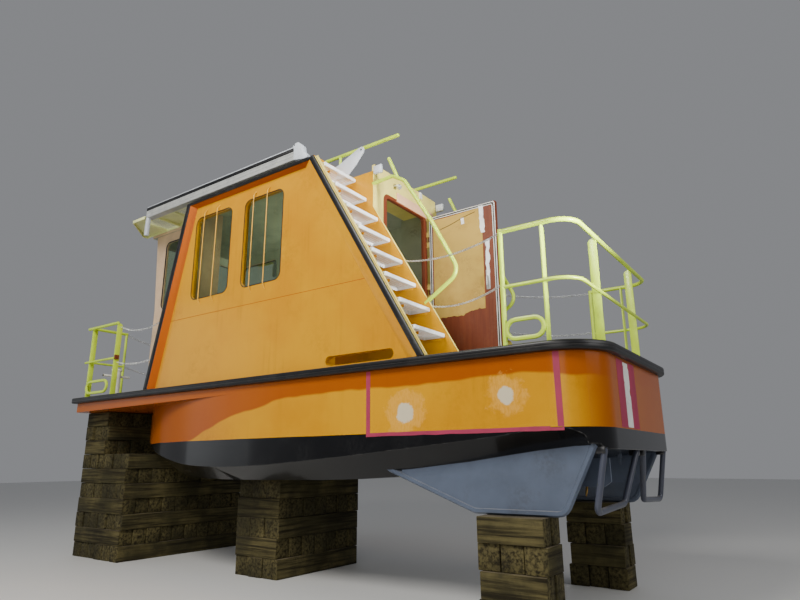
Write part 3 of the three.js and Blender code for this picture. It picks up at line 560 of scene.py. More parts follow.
def rawMetal(name, colour, tarnish, roughness, brush, dirt, metallic):
    # bare metal with fine brushed lines and dull patches
    material, tree, sockets, where = newMaterial(name)
    lines = stretched(tree, where, brush, 5, 0.6)
    toned = put(tree, mottle, where, Colour=paint(*colour), Other=paint(*tarnish), Scale=9.0, Low=0.42,
                High=0.72)
    soiled = put(tree, grime, where, Colour=toned["Colour"], Dirt=dirtGrey, Scale=4.0, Amount=dirt)
    wire(tree, ramp(tree, soiled["Mask"], 0, 0.6, metallic, 0.3), sockets["Metallic"])
    rough = ramp(tree, lines, 0.2, 0.8, roughness - 0.1, roughness + 0.15)
    surfaced(tree, sockets, soiled["Colour"], rough, lines, 0.0008, 0.35)
    return material


def windowGlass():
    material, tree, sockets, where = newMaterial("window_glass")
    sockets["Transmission Weight"].default_value = 1.0
    sockets["IOR"].default_value = 1.2
    smear = put(tree, grime, where, Colour=paint(214, 226, 206), Dirt=paint(186, 190, 172), Scale=2.5,
                Amount=0.5)
    surfaced(tree, sockets, smear["Colour"], ramp(tree, smear["Mask"], 0, 0.6, 0.03, 0.22))
    return material


def timber(name, along):  # old dark sleepers, grain along the given scale
    material, tree, sockets, where = newMaterial(name, specular=0.25)
    grain = stretched(tree, where, along, 7, 0.65)
    patches = put(tree, mottle, where, Colour=paint(62, 58, 36), Other=paint(96, 88, 56), Scale=2.4,
                  Low=0.38, High=0.66)
    lined = blended(tree, ramp(tree, grain, 0.38, 0.66), patches["Colour"], paint(40, 36, 24))
    soiled = put(tree, grime, where, Colour=lined, Dirt=paint(34, 31, 26), Scale=3.4, Amount=0.6)
    settled = put(tree, dust, where, Colour=soiled["Colour"], Dust=paint(140, 128, 110), Amount=0.5)
    surfaced(tree, sockets, settled["Colour"], ramp(tree, grain, 0.3, 0.7, 0.7, 0.95), grain, 0.008, 0.9)
    return material


def cardboardSheet():
    material, tree, sockets, where = newMaterial("cardboard", specular=0.2)
    flutes = stretched(tree, where, (4, 4, 160), 2, 0.4)
    toned = put(tree, mottle, where, Colour=paint(198, 164, 84), Other=paint(180, 144, 72), Scale=3.0,
                Low=0.35, High=0.7)
    soiled = put(tree, grime, where, Colour=toned["Colour"], Dirt=paint(112, 84, 60), Scale=4.0, Amount=0.4)
    height = maths(tree, "ADD", flutes, noise(tree, where, 6.0, 4))
    surfaced(tree, sockets, soiled["Colour"], ramp(tree, flutes, 0.3, 0.7, 0.72, 0.88), height, 0.0015, 0.5)
    return material


def primerPaint():  # brushed red-brown primer
    material, tree, sockets, where = newMaterial("door_primer", specular=0.35)
    strokes = stretched(tree, where, (26, 26, 1.6), 5, 0.6)
    toned = blended(tree, ramp(tree, strokes, 0.3, 0.7), paint(120, 60, 34), paint(104, 50, 30))
    soiled = put(tree, grime, where, Colour=toned, Dirt=paint(130, 92, 70), Scale=2.4, Amount=0.3)
    surfaced(tree, sockets, soiled["Colour"], ramp(tree, soiled["Mask"], 0, 0.6, 0.5, 0.8), strokes, 0.001,
             0.5)
    return material


paints = (  # name, colour, roughness, coat, worn colour, dirt, wear, dust, grain
    ("blue_grey_paint", (86, 96, 114), 0.42, 0.1, (80, 84, 92), 0.3, 0.35, 0.35, 0.004),
    ("hoop_paint", (66, 70, 84), 0.38, 0.15, (92, 96, 104), 0.3, 0.35, 0.35, 0.004),
    ("black_paint", (26, 26, 28), 0.3, 0.3, (80, 78, 76), 0.4, 0.35, 0.35, 0.004),
    ("beige_paint", (216, 184, 148), 0.5, 0.1, (170, 140, 110), 0.25, 0.35, 0.35, 0.004),
    ("lime_paint", (206, 236, 60), 0.34, 0.15, (150, 166, 70), 0.14, 0.06, 0.15, 0.0006),
    ("pale_lime_paint", (244, 248, 176), 0.4, 0.1, (160, 166, 110), 0.2, 0.15, 0.35, 0.001),
    ("tread_metal", (254, 255, 255), 0.45, 0.0, (206, 208, 210), 0.12, 0.35, 0.35, 0.004),
    ("white_paint", (236, 236, 230), 0.36, 0.2, (140, 110, 84), 0.35, 0.35, 0.35, 0.004),
    ("masking_tape", (160, 46, 78), 0.6, 0.0, (200, 120, 124), 0.2, 0.0, 0.35, 0.004),
    ("window_gasket", (30, 30, 32), 0.5, 0.0, (70, 70, 70), 0.3, 0.2, 0.35, 0.004),
    ("pale_yellow_paint", (244, 226, 120), 0.4, 0.1, (200, 160, 90), 0.15, 0.1, 0.2, 0.004),
    ("cabin_lining", (166, 172, 146), 0.6, 0.0, (140, 144, 130), 0.4, 0.35, 0.35, 0.004),
    ("fascia_paint", (250, 196, 150), 0.45, 0.1, (190, 120, 80), 0.15, 0.1, 0.35, 0.004),
    ("guard_rod_paint", (226, 168, 40), 0.5, 0.0, (170, 120, 70), 0.1, 0.35, 0.35, 0.0005),
    ("lift_fitting_paint", (206, 212, 220), 0.4, 0.1, (150, 152, 156), 0.12, 0.35, 0.35, 0.001),
    ("deck_paint", (120, 124, 126), 0.7, 0.0, (80, 80, 80), 0.6, 0.35, 0.6, 0.004))
metals = (  # name, colour, tarnish, roughness, brushed lines, dirt, metallic
    ("bronze", (178, 140, 70), (120, 92, 52), 0.34, (40, 40, 40), 0.3, 1.0),
    ("aluminium", (196, 198, 194), (180, 182, 180), 0.4, (2, 120, 120), 0.08, 0.45),
    ("chain_steel", (244, 246, 248), (206, 208, 212), 0.3, (60, 60, 60), 0.06, 1.0))

(blueGrey, hoopGrey, blackGloss, beige, lime, paleLime, treadMetal, whitePaint, tapePink, gasket,
 paleYellow, lining, fasciaPink, rodPaint, liftGrey, deckGrey) = [plainPaint(*row) for row in paints]
bronze, aluminium, chainSteel = [rawMetal(*row) for row in metals]
orangeGloss = orangePaint("orange_gloss", orange["bright"], orange["deep"], coat=0.08)[0]
# a darker copy of the orange paint: painted shade on the wall's fore and upper slopes, and the colour of the
# panel seam and the cheek's sealant line
shadeAndJointOrange = orangePaint("orange_painted_shade_and_joints", *orange["band"], roughness=0.45, specular=0.15)[0]
hullFinish, rubberBlack, glass = hullPaint(), rubber(), windowGlass()
primer, cardboard = primerPaint(), cardboardSheet()
timberLong = timber("timber_lengthwise", (1.2, 30, 30))
timberCross = timber("timber_crosswise", (30, 1.2, 30))
print("materials made")


# Hull, rub rail and what is stuck on the topsides
def hullPick(face):
    return int(face.normal.z > 0.9 and face.calc_center_median().z > railTop - 0.01)


dressed("hull_shell", "hull", [hullFinish, deckGrey], 0.004, pick=hullPick, smooth=24)

topsides = {"half": 1.190, "turn": 0.390, "straight": 0.450}  # half breadth, corner radius and its fore end
tapes = {"low": -0.690, "top": -0.084, "wide": 0.046, "run": 0.034, "thick": 0.0012, "fore": 2.240,
         "aft": 0.345, "face": 0.060, "transom": ((0.472, 0.655), (0.120, 0.308)), "bared": (0.300, 0.480)}


def hullSide(x):  # half breadth of the topsides, round the stern corner too
    half, turn, straight = topsides["half"], topsides["turn"], topsides["straight"]
    return half if x > straight else half - turn + math.sqrt(max(0.0, turn ** 2 - (straight - x) ** 2))


def wavering(low, high, count, amount):  # values from low to high with a hand-torn waver beside each
    return [(low + (high - low) * i / count, random.uniform(-amount, amount)) for i in range(count + 1)]


def makeTapes(settings):
    bm = bmesh.new()
    low, top, wide, run, thick, fore, aft, face = (
        settings[k] for k in ("low", "top", "wide", "run", "thick", "fore", "aft", "face"))
    for edge in (fore - wide, aft):  # two uprights
        corners = [(edge, low + 0.030), (edge + wide, low + 0.030), (edge + wide + 0.004, top),
                   (edge + 0.002, top)]
        prism(bm, [at(x, hullSide(x), z) for x, z in corners], toPort(thick))
    half, straight = topsides["half"], topsides["straight"]
    upper = [at(x, half, low + run + waver) for x, waver in wavering(fore, straight, 14, 0.002)]
    lower = [at(x, half, low + waver) for x, waver in wavering(fore, straight, 14, 0.003)]
    prism(bm, upper + lower[::-1], toPort(thick * 1.5))
    corner = [(straight + 0.010, low), (aft, low), (aft, low + run), (straight + 0.010, low + run)]
    prism(bm, [at(x, hullSide(x), z) for x, z in corner], toPort(thick))
    for edges in settings["transom"]:
        near, far = [[at(face, y + waver, z) for z, waver in wavering(-0.100, -0.655, 8, 0.004)]
                     for y in edges]
        prism(bm, near + far[::-1], Vector((-thick, 0, 0)))
    finished("masking_tape_strips", bm, tapePink)
    bm = bmesh.new()
    near, far = [[at(face, y + 4 * waver, z) for z, waver in wavering(-0.110, -0.650, 16, 0.008)]
                 for y in settings["bared"]]
    prism(bm, near + far[::-1], Vector((-0.0008, 0, 0)))
    finished("bared_stripe", bm, whitePaint)


makeTapes(tapes)

railSettings = {"proud": 0.060, "height": 0.080, "round": 0.022, "sternRadius": 0.45, "length": 7.63,
                "half": 1.25, "arc": 14,
                "groove": ((0.0, -0.046), (0.003, -0.044), (0.003, -0.036), (0.0, -0.034))}
deckSheet = {"inset": 0.061, "level": 0.00015, "thick": 0.0003}


def deckOutline(inset, settings=railSettings):
    # plan of the deck edge, from the bow on the port side round the stern to the bow on the starboard side
    length, half, turn = settings["length"] - inset, settings["half"] - inset, settings["sternRadius"]
    radius = turn - inset
    port = [(length, half)] + arcPoints(turn, half - radius, radius, 90, 180, settings["arc"])
    return port + [(x, -y) for x, y in reversed(port)]


def makeRubRail(settings):
    # outer face of the section, from the hull below round to the hull above: inset and level
    proud, height, curve = settings["proud"], settings["height"], settings["round"]
    turns = (0, 0.4, 0.8, 1.2, math.pi / 2)
    lower = [(curve - curve * math.sin(a), -height + curve - curve * math.cos(a)) for a in turns]
    upper = [(inset, -height - level) for inset, level in reversed(lower)]
    bm = bmesh.new()
    loops = []
    for inset, level in [(proud, -height), *lower, *settings["groove"], *upper, (proud, 0.0)]:
        verts = [bm.verts.new(at(x, y, level)) for x, y in deckOutline(inset)]
        loops.append([bm.edges.new((verts[i - 1], verts[i])) for i in range(len(verts))])
    for below, above in zip(loops, loops[1:] + loops[:1]):
        bmesh.ops.bridge_loops(bm, edges=below + above)
    finished("rub_rail_strip", bm, rubberBlack, "rub_rail", smooth=40)


def makeDeckSheet(settings):  # the deck's thin grey coating
    bm = bmesh.new()
    outline = [at(x, y, settings["level"]) for x, y in deckOutline(settings["inset"])]
    prism(bm, outline, Vector((0, 0, settings["thick"])))
    finished("deck_coating", bm, deckGrey)


makeRubRail(railSettings)
makeDeckSheet(deckSheet)


# Rails: round tubes, flat bars with a rounded inner corner, and fairleads
rails = {"top": 1.020, "mid": 0.500, "tube": 0.021, "midTube": 0.016, "plate": 0.012, "bar": 0.075,
         "corner": 0.045, "gap": 0.0005, "slot": (0.030, 0.225), "ring": 0.036}
railLevel = rails["top"] - rails["tube"]
railTubes = ((railLevel, rails["tube"]), (rails["mid"], rails["midTube"]))


def flatBar(bm, x, y, alongX, inward, settings=rails):
    # a flat bar post, its upper inner corner rounded
    width, half, curve, top = settings["bar"], settings["plate"] / 2, settings["corner"], railLevel
    outline = [(0, settings["gap"]), (width, settings["gap"])]
    outline += arcPoints(width - curve, top - curve, curve, 0, 90, 5) + [(0, top)]
    if alongX:
        prism(bm, [at(x - half, y + inward * a, z) for a, z in outline], Vector((2 * half, 0, 0)), 0.002)
    else:
        prism(bm, [at(x + inward * a, y - half, z) for a, z in outline], toPort(2 * half), 0.002)


def fairlead(bm, low, high, y, thick, settings=rails):
    (bottom, top), ring = settings["slot"], settings["ring"]
    outer = stadium(low, high, bottom, top)
    inner = stadium(low + ring, high - ring, bottom + ring, top - ring)
    ringPlate(bm, outer, inner, lambda a, b: at(a, y - thick / 2, b), toPort(thick), 0.010)


def post(bm, x, y, radius):
    pipe(bm, [at(x, y, rails["gap"]), at(x, y, rails["top"] - 0.002)], radius)


sternSettings = {"y": 1.200, "x": 0.150, "bend": 0.200, "post": 0.780, "bar": 0.420, "inner": 0.570,
                 "fairlead": 0.036}
bowSettings = {"y": 1.215, "fore": 7.350, "aft": 6.700, "inner": 0.690, "end": 7.450, "fairlead": 0.032}
handrail = {"route": ((2.580, 2.178), (2.300, 2.196), (2.141, 2.094), (1.800, 1.533), (1.479, 0.908),
                      (1.890, 0.645)),
            "stub": ((2.352, 2.430), (2.236, 2.166)), "y": 0.675, "radius": 0.021, "bend": 0.135}
roofRail = {"y": 0.655, "z": 2.697, "aft": 2.240, "fore": 3.950, "radius": 0.021, "posts": (3.100, 3.520),
            "foot": 2.500, "bend": 0.060,
            "flange": ((0.0, 0.008), (0.036, 0.008), (0.040, 0.004), (0.040, 0.0005), (0.0, 0.0005))}


def makeSternRail(settings):
    bm = bmesh.new()
    y, x, fore = settings["y"], settings["x"], settings["post"]
    for z, radius in railTubes:
        pipe(bm, [at(fore, y, z), at(x, y, z), at(x, -y, z), at(fore, -y, z)], radius, settings["bend"],
             steps=10)
    for name, s in sides:
        post(bm, fore, s * y, rails["tube"])
        flatBar(bm, settings["bar"], s * y, True, -s)
        flatBar(bm, x, s * settings["inner"], False, 1)
        fairlead(bm, settings["bar"], fore, s * y, settings["fairlead"])
    finished("stern_rail_tubes", bm, lime, "stern_rail")


def makeBowRails(settings):
    y, fore, aft, inner = settings["y"], settings["fore"], settings["aft"], settings["inner"]
    for name, s in sides:
        bm = bmesh.new()
        for z, radius in railTubes:
            pipe(bm, [at(aft - 0.010, s * y, z), at(settings["end"], s * y, z)], radius)
            pipe(bm, [at(fore, s * y, z), at(fore, s * (inner - 0.010), z)], radius)
        for x in (fore, aft):
            flatBar(bm, x, s * y, True, -s)
        post(bm, fore, s * inner, rails["tube"] * 0.85)
        fairlead(bm, aft + 0.090, fore, s * y, settings["fairlead"])
        finished("bow_rail_tubes_" + name, bm, lime, "bow_rail_" + name)
    bm = bmesh.new()
    bar(bm, at(aft - 0.026, y - 0.060, 0.486), at(aft - 0.0065, y + 0.004, 0.546), 0.003)
    finished("bow_chain_plate", bm, primer)


def makeHandrails(name, s):
    bm = bmesh.new()
    pipe(bm, sideView(handrail["route"], s * handrail["y"]), handrail["radius"], handrail["bend"])
    pipe(bm, sideView(handrail["stub"], s * handrail["y"]), handrail["radius"] * 0.95)
    finished("handrail_tube_" + name, bm, lime, "handrail_" + name)
    bm = bmesh.new()
    y, z, aft, fore, foot, radius = (roofRail[k] for k in ("y", "z", "aft", "fore", "foot", "radius"))
    y *= s
    pipe(bm, sideView(((aft, z), (fore, z), (fore, foot + rails["gap"])), y), radius, roofRail["bend"])
    bmesh.ops.create_uvsphere(bm, u_segments=14, v_segments=8, radius=radius,
                              matrix=Matrix.Translation(at(aft, y, z)))
    for x in roofRail["posts"]:
        pipe(bm, [at(x, y, foot + rails["gap"]), at(x, y, z)], radius * 0.8)
        lathe(bm, roofRail["flange"], at(x, y, foot), 18)
    finished("roof_rail_tube_" + name, bm, lime, "roof_rail_" + name)


makeSternRail(sternSettings)
makeBowRails(bowSettings)
for name, s in sides:
    makeHandrails(name, s)
print("rails made")


# Hanging chains, link by link
chains = {"wire": 0.0033, "pitch": 0.030, "width": 0.023, "section": 5, "turn": 0.35, "sway": 0.12,
          "samples": 200}


def linkMesh(settings):
    # one link along X, its middle at the origin
    radius = (settings["width"] - 2 * settings["wire"]) / 2
    half = settings["pitch"] / 2 + settings["wire"] - radius
    outline = arcPoints(half, 0, radius, -90, 90, 4) + arcPoints(-half, 0, radius, 90, 270, 4)
    bm = bmesh.new()
    sweep(bm, [Vector((a, b, 0)) for a, b in outline], circle(settings["wire"], settings["section"]),
          closed=True)
    bmesh.ops.recalc_face_normals(bm, faces=bm.faces)
    return meshOf("chain_link", bm)


oneLink = linkMesh(chains)


def makeChain(node, start, end, sag, settings=chains):
    bm = bmesh.new()
    shares = [i / settings["samples"] for i in range(settings["samples"] + 1)]
    route = [start.lerp(end, t) - upward * (4 * sag * t * (1 - t)) for t in shares]
    lengths = [0.0]
    for here, there in zip(route, route[1:]):
        lengths.append(lengths[-1] + (there - here).length)
    count = round(lengths[-1] / settings["pitch"])
    for i in range(count):
        target = lengths[-1] * (i + 0.5) / count
        k = next(j for j, far in enumerate(lengths) if far >= target)
        ahead = (route[k] - route[k - 1]).normalized()
        middle = route[k - 1].lerp(route[k], (target - lengths[k - 1]) / (lengths[k] - lengths[k - 1]))
        level = ahead.cross(upward).normalized()
        turned = Matrix((ahead, level, ahead.cross(level))).transposed().to_4x4()
        sway = random.uniform(-settings["sway"], settings["sway"])
        roll = math.pi / 2 * (i % 2) + settings["turn"] + sway
        known = len(bm.verts)
        bm.from_mesh(oneLink)
        bm.verts.ensure_lookup_table()
        matrix = Matrix.Translation(middle) @ turned @ Matrix.Rotation(roll, 4, "X")
        bmesh.ops.transform(bm, matrix=matrix, verts=bm.verts[known:])
    finished(node + "_links", bm, chainSteel, node, clean=False, smooth=60)


# Side walls: panel, sloping band partly in darker orange as painted shade, black rubber edge, windows and
# their guard rods
walls = {"inner": 1.100, "recess": 1.170, "outer": 1.240, "height": 2.420, "aft": (1.550, 2.985),
         "fore": (5.870, 5.280), "seam": 0.865, "foot": 0.004,
         "windows": (("fore", 4.430, 5.130), ("aft", 3.520, 4.180)), "sill": 1.090, "head": 2.200,
         "round": 0.090, "gasket": 0.009, "rods": (3.500, 5.150),
         "rubber": {"aft": 0.070, "top": 0.036, "fore": 0.066}, "slope": (0.228, 0.152),
         "cheek": (1.222, 1.234), "cheekWidth": (0.026, 0.046), "cheekTop": 2.408}
stringer = {"foot": 1.455, "head": 2.565, "height": 1.888}


def stringerEdge(z):  # aft edge of the stair's side plate
    return stringer["foot"] + (stringer["head"] - stringer["foot"]) * z / stringer["height"]


def wallEdge(edge, z):  # a sloping edge of the side wall, from the deck to the roof
    low, high = walls[edge]
    return low + (high - low) * z / walls["height"]


def sideWallPick(face):
    # 1 rubber, 2 lining, 3 band in darker orange as painted shade, 4 pale edge, 5 guard rods, 0 orange
    middle, flat = face.calc_center_median(), abs(face.normal.y)
    along, level, out = middle.x - sternX, middle.z - railTop, abs(middle.y)
    if out > walls["outer"] - 0.001 and flat > 0.9:
        return 1
    if flat > 0.9 and out < walls["inner"] + 0.001:
        return 2
    nearWindows = walls["rods"][0] < along < walls["rods"][1] and level < walls["head"] + 0.080
    if nearWindows and walls["recess"] + 0.004 < out < walls["outer"] - 0.012:
        return 5
    if 0.3 < flat < 0.97 and out > walls["recess"] + 0.010:
        # the aft slope keeps the bright orange; the fore and upper slopes take the darker orange as painted
        # shade
        return 0 if along < wallEdge("aft", level) + 0.3 else 3
    if flat < 0.1 and along < wallEdge("aft", level) + 0.02:
        return 4
    return int(flat < 0.1 and (along > wallEdge("fore", level) - 0.02 or level > walls["height"] - 0.01))


def lean(edge):  # how much wider a strip square to a sloping edge is when measured along the boat
    low, high = walls[edge]
    return math.hypot(high - low, walls["height"]) / walls["height"]


def rubberRun(bm, s, start, end, width, corners, crown=0.0095, sunk=0.010):
    # one straight run of rounded strip on the wall's face, cut square or on a mitre at its ends
    half, y = width / 2, s * walls["outer"]
    start, end = at(start[0], y, start[1]), at(end[0], y, end[1])
    along = (end - start).normalized() * 0.1
    angles = [math.radians(-90 + 15 * i) for i in range(13)]
    crest = [(-crown * math.cos(a), half * math.sin(a)) for a in angles]
    section = [(sunk, -half)] + crest + [(sunk, half)]
    run = bmesh.new()
    sweep(run, [start - along, end + along], [(s * out, up) for out, up in section])
    bmesh.ops.recalc_face_normals(run, faces=run.faces)
    for (x0, z0), (x1, z1) in corners:
        place, across = at(x0, y, z0), Vector((z1 - z0, 0, x0 - x1))
        if across.dot((start + end) / 2 - place) > 0:
            across = -across
        geometry = run.verts[:] + run.edges[:] + run.faces[:]
        cut = bmesh.ops.bisect_plane(run, geom=geometry, plane_co=place, plane_no=across, clear_outer=True)
        bmesh.ops.edgenet_fill(run, edges=[e for e in cut["geom_cut"] if isinstance(e, bmesh.types.BMEdge)])
    joined(bm, run)


def edgeRubber(bm, s):
    # the rounded strip round the wall's aft, upper and fore edges, mitred at the upper corners
    foot, wide = walls["foot"], walls["rubber"]
    top, inner = walls["height"] + foot, walls["height"] - wide["top"]
    ends = {}
    for edge, sign in (("aft", 1), ("fore", -1)):
        across = sign * wide[edge] * lean(edge)
        low, high = (wallEdge(edge, foot) + across / 2, foot), (wallEdge(edge, top) + across / 2, top)
        ends[edge] = ((wallEdge(edge, top), top), (wallEdge(edge, inner) + across, inner))
        level = ((low[0] - 1, foot), (low[0] + 1, foot))
        rubberRun(bm, s, *((low, high) if edge == "aft" else (high, low)), wide[edge], (ends[edge], level))
    middle = top - wide["top"] / 2
    rubberRun(bm, s, (ends["aft"][0][0], middle), (ends["fore"][0][0], middle), wide["top"],
              (ends["aft"], ends["fore"]))


def makeSideWall(name, s):
    skins = [orangeGloss, rubberBlack, lining, shadeAndJointOrange, paleYellow, rodPaint]
    dressed("side_wall_panel_" + name, "side_wall_" + name, skins, 0.002, pick=sideWallPick)
    bm = bmesh.new()
    edgeRubber(bm, s)
    finished("edge_rubber_" + name, bm, rubberBlack, smooth=40, clean=False)
    bm = bmesh.new()
    (near, far), (narrow, wide), recess = walls["cheek"], walls["cheekWidth"], walls["recess"]
    foot, top = walls["foot"], walls["cheekTop"]
    low, high = wallEdge("aft", foot) - 0.002, wallEdge("aft", top) - 0.002
    outline = ((low - narrow, foot), (low, foot), (high, top), (high - wide, top))
    prism(bm, sideView(outline, s * near), toPort(s * (far - near)), 0.0015)
    finished("plate_edge_" + name, bm, paleYellow)
    bm = bmesh.new()  # brown sealant line along the cheek
    outline = ((low - narrow * 0.55, 0.010), (low - narrow * 0.35, 0.010), (high - wide * 0.42, 2.400),
               (high - wide * 0.52, 2.400))
    prism(bm, sideView(outline, s * (far - 0.0005)), toPort(s * 0.0015))
    finished("cheek_sealant_" + name, bm, shadeAndJointOrange)
    bm = bmesh.new()
    for where, aft, fore in walls["windows"]:
        rect = (aft, walls["sill"], fore, walls["head"], walls["round"])
        ringPlate(bm, swelled(rect, walls["gasket"]), swelled(rect, -0.003),
                  lambda a, b: at(a, s * (recess - 0.001), b), toPort(s * 0.004), 0.0015)
    finished("window_gaskets_" + name, bm, gasket)
    bm = bmesh.new()
    seam, (aftSlope, foreSlope) = walls["seam"], walls["slope"]
    low = at(wallEdge("aft", seam) + aftSlope, s * (recess - 0.002), seam - 0.003)
    bar(bm, low, at(wallEdge("fore", seam) - foreSlope, s * (recess + 0.0012), seam + 0.003), 0.001)
    finished("panel_seam_" + name, bm, shadeAndJointOrange)
    for where, aft, fore in walls["windows"]:
        dressed(f"side_pane_{where}_{name}", f"side_window_{where}_{name}", [glass], 0.0)


# Wheelhouse front: beige panels, black window frames; windows as left, bottom, right, top and corner radius
front = {"y": 0.750, "side": (5.620, 1.250, 6.420, 2.270, 0.080),
         "pane": (0.060, 1.320, 0.640, 2.280, 0.080), "sill": (6.580, 1.250), "head": (6.690, 2.420),
         "cover": -0.006, "edge": 0.004}


def frontX(z):  # the front panel's outer face, above its sill
    (low, bottom), (high, top) = front["sill"], front["head"]
    return low + (high - low) * (z - bottom) / (top - bottom)


def makeFront(name, s, settings):
    def inside(face):
        return int(face.normal.y * s < -0.9)

    dressed("front_side_panel_" + name, "front_side_" + name, [beige, lining], 0.003,
            pick=inside)
    dressed("front_side_pane_" + name, "front_side_window_" + name, [glass], 0.0)
    dressed("front_pane_" + name, "front_window_" + name, [glass], 0.0)
    bm = bmesh.new()
    rect, cover, edge = settings["side"], settings["cover"], settings["edge"]
    ringPlate(bm, swelled(rect, 0.008), swelled(rect, cover),
              lambda a, b: at(a, s * (settings["y"] - 0.002), b), toPort(s * 0.014), edge)
    rect = settings["pane"]
    ringPlate(bm, swelled(rect, 0.020), swelled(rect, cover), lambda a, b: at(frontX(b) - 0.002, s * a, b),
              Vector((0.012, 0, 0)), edge)
    finished("front_window_frames_" + name, bm, gasket)


for name, s in sides:
    makeSideWall(name, s)
dressed("front_panel", "front_wall", [beige, lining], 0.003,
        pick=lambda face: int(face.normal.x < -0.9))
for name, s in sides:
    makeFront(name, s, front)
print("walls made")


# Stairs: folded, perforated steps between the side plate and the wall
steps = {"count": 8, "foot": 1.660, "low": 0.300, "run": 0.166, "rise": 0.286, "depth": 0.250,
         "thick": 0.040, "inner": 0.6905, "outer": 1.0995, "sheet": 0.003, "cell": (0.040, 0.021),
         "lip": 0.148, "nose": 0.022, "teeth": 11, "studs": 9, "plate": 2.585}


def perforated(bm, low, high, s, level, columns, rows, share):
    # a sheet between two corners (forward, to port), with a square hole in each of its cells
    middle = at((low[0] + high[0]) / 2, s * (low[1] + high[1]) / 2, level)
    matrix = Matrix.Translation(middle) @ Matrix.Diagonal((high[0] - low[0], high[1] - low[1], 1, 1))
    grid = bmesh.ops.create_grid(bm, x_segments=columns, y_segments=rows, size=0.5)
    faces = list({f for v in grid["verts"] for f in v.link_faces})
    bmesh.ops.transform(bm, matrix=matrix, verts=grid["verts"])
    cell = min(e.calc_length() for e in faces[0].edges)
    bmesh.ops.inset_individual(bm, faces=faces, thickness=cell * (1 - share) / 2)
    bmesh.ops.delete(bm, geom=faces, context="FACES_ONLY")


def addSkin(bm, skin, thickness):
    # the perforated sheets get their thickness and join the piece
    bmesh.ops.recalc_face_normals(skin, faces=skin.faces)
    bmesh.ops.solidify(skin, geom=skin.faces[:], thickness=thickness)
    joined(bm, skin)


def makeStep(bm, settings, s, x, z):
    inner, outer, thick, sheet, nose = (settings[k] for k in ("inner", "outer", "thick", "sheet", "nose"))
    wall, far, low = wallEdge("aft", z - thick) - 0.0015, x + settings["depth"], z - thick
    lip, wing, cheek = wall + settings["lip"], walls["recess"] - 0.0015, walls["cheek"][0] - 0.0005
    skin = bmesh.new()
    for start, end in (((x + 0.014, inner + 0.005), (far - 0.010, outer - 0.002)),
                       ((x + 0.014, outer - 0.002), (lip, wing))):
        columns, rows = [max(2, round((b - a) / cell)) for a, b, cell in zip(start, end, settings["cell"])]
        perforated(skin, start, end, s, z - sheet, columns, rows, 0.55)
    addSkin(bm, skin, sheet)
    bars = [(x, inner, low, x + nose, wing, z, 0.008,
             3),  # folded nose, then what reaches round to the cheek
            (x, wing - 0.001, low, min(x + nose, wall), cheek, z, 0.005, 3),
            (x + 0.004, wing - 0.001, z - 0.004, wall, cheek, z - 0.001, 0.001, 2),
            (far - 0.010, inner, low + 0.012, far, outer, z, 0.002, 2)]
    for i in range(settings["teeth"]):  # the far edge is folded down in teeth
        near = inner + 0.004 + (outer - inner - 0.008) * (i + 0.15) / settings["teeth"]
        bars.append((far - 0.009, near, low, far - 0.001, near + 0.022, low + 0.014, 0.0, 2))
    bars += [(x + nose / 2, inner, low, far - 0.004, inner + 0.005, z - 0.001, 0.002, 2),
             (lip - 0.006, outer - 0.004, low, lip, wing, z - 0.001, 0.002, 2),
             (lip - 0.004, outer - 0.005, low, far - 0.004, outer, z - 0.001, 0.002, 2)]
    if wall - x <= 0.012:  # the nose already reaches the wall
        del bars[1:3]
    for x0, y0, z0, x1, y1, z1, edge, segments in bars:
        bar(bm, at(x0, s * y0, z0), at(x1, s * y1, z1), edge, segments)
    for i in range(settings["studs"]):  # raised studs along the nose
        y = inner + (outer - inner) * (i + 0.5) / settings["studs"]
        bmesh.ops.create_cone(bm, cap_ends=True, segments=8, radius1=0.006, radius2=0.004, depth=0.003,
                              matrix=Matrix.Translation(at(x + 0.011, s * y, z - 0.0010)))


def makeStairs(name, s, settings):
    def sidePick(face):  # pale aft edges, pale cabin face
        middle, inside = face.calc_center_median(), at(settings["plate"], 0, 0).x
        if face.normal.x < -0.4 and middle.x < inside + 0.015:
            return 1
        return 2 if face.normal.x > 0.9 or (middle.x > inside and face.normal.y * middle.y < -0.1) else 0

    skins = [orangeGloss, paleYellow, lining]
    dressed("stair_side_" + name, "stair_wall_" + name, skins, 0.002, pick=sidePick,
            cut=settings["plate"])
    places = [(settings["foot"] + settings["run"] * i,
               settings["low"] + settings["rise"] * i) for i in range(settings["count"])]
    bm = bmesh.new()
    for x, z in places:
        makeStep(bm, settings, s, x, z)
    finished("stair_steps_" + name, bm, treadMetal, "stair_treads_" + name, clean=False)
    bm = bmesh.new()
    for x, z in places:  # an angle cleat under each end of a step
        z -= settings["thick"]
        for y, inward in ((settings["inner"], 1), (settings["outer"], -1)):
            bar(bm, at(x + 0.040, s * y, z - 0.030), at(x + 0.210, s * (y + inward * 0.005), z), 0.002)
    finished("step_cleats_" + name, bm, orangeGloss)


# Aft bulkhead with the doorway's jambs, fascia and lamp
bulkhead = {"x": 2.565, "starboard": -0.386, "port": 0.442, "sill": 0.100, "head": 2.110, "round": 0.060,
            "half": 0.660, "reach": 0.050, "panelTop": 2.280, "lamp": (0.280, 2.290),
            "shade": ((0.0, 0.0), (0.022, 0.0), (0.030, -0.010), (0.030, -0.045), (0.024, -0.052),
                      (0.0, -0.052))}


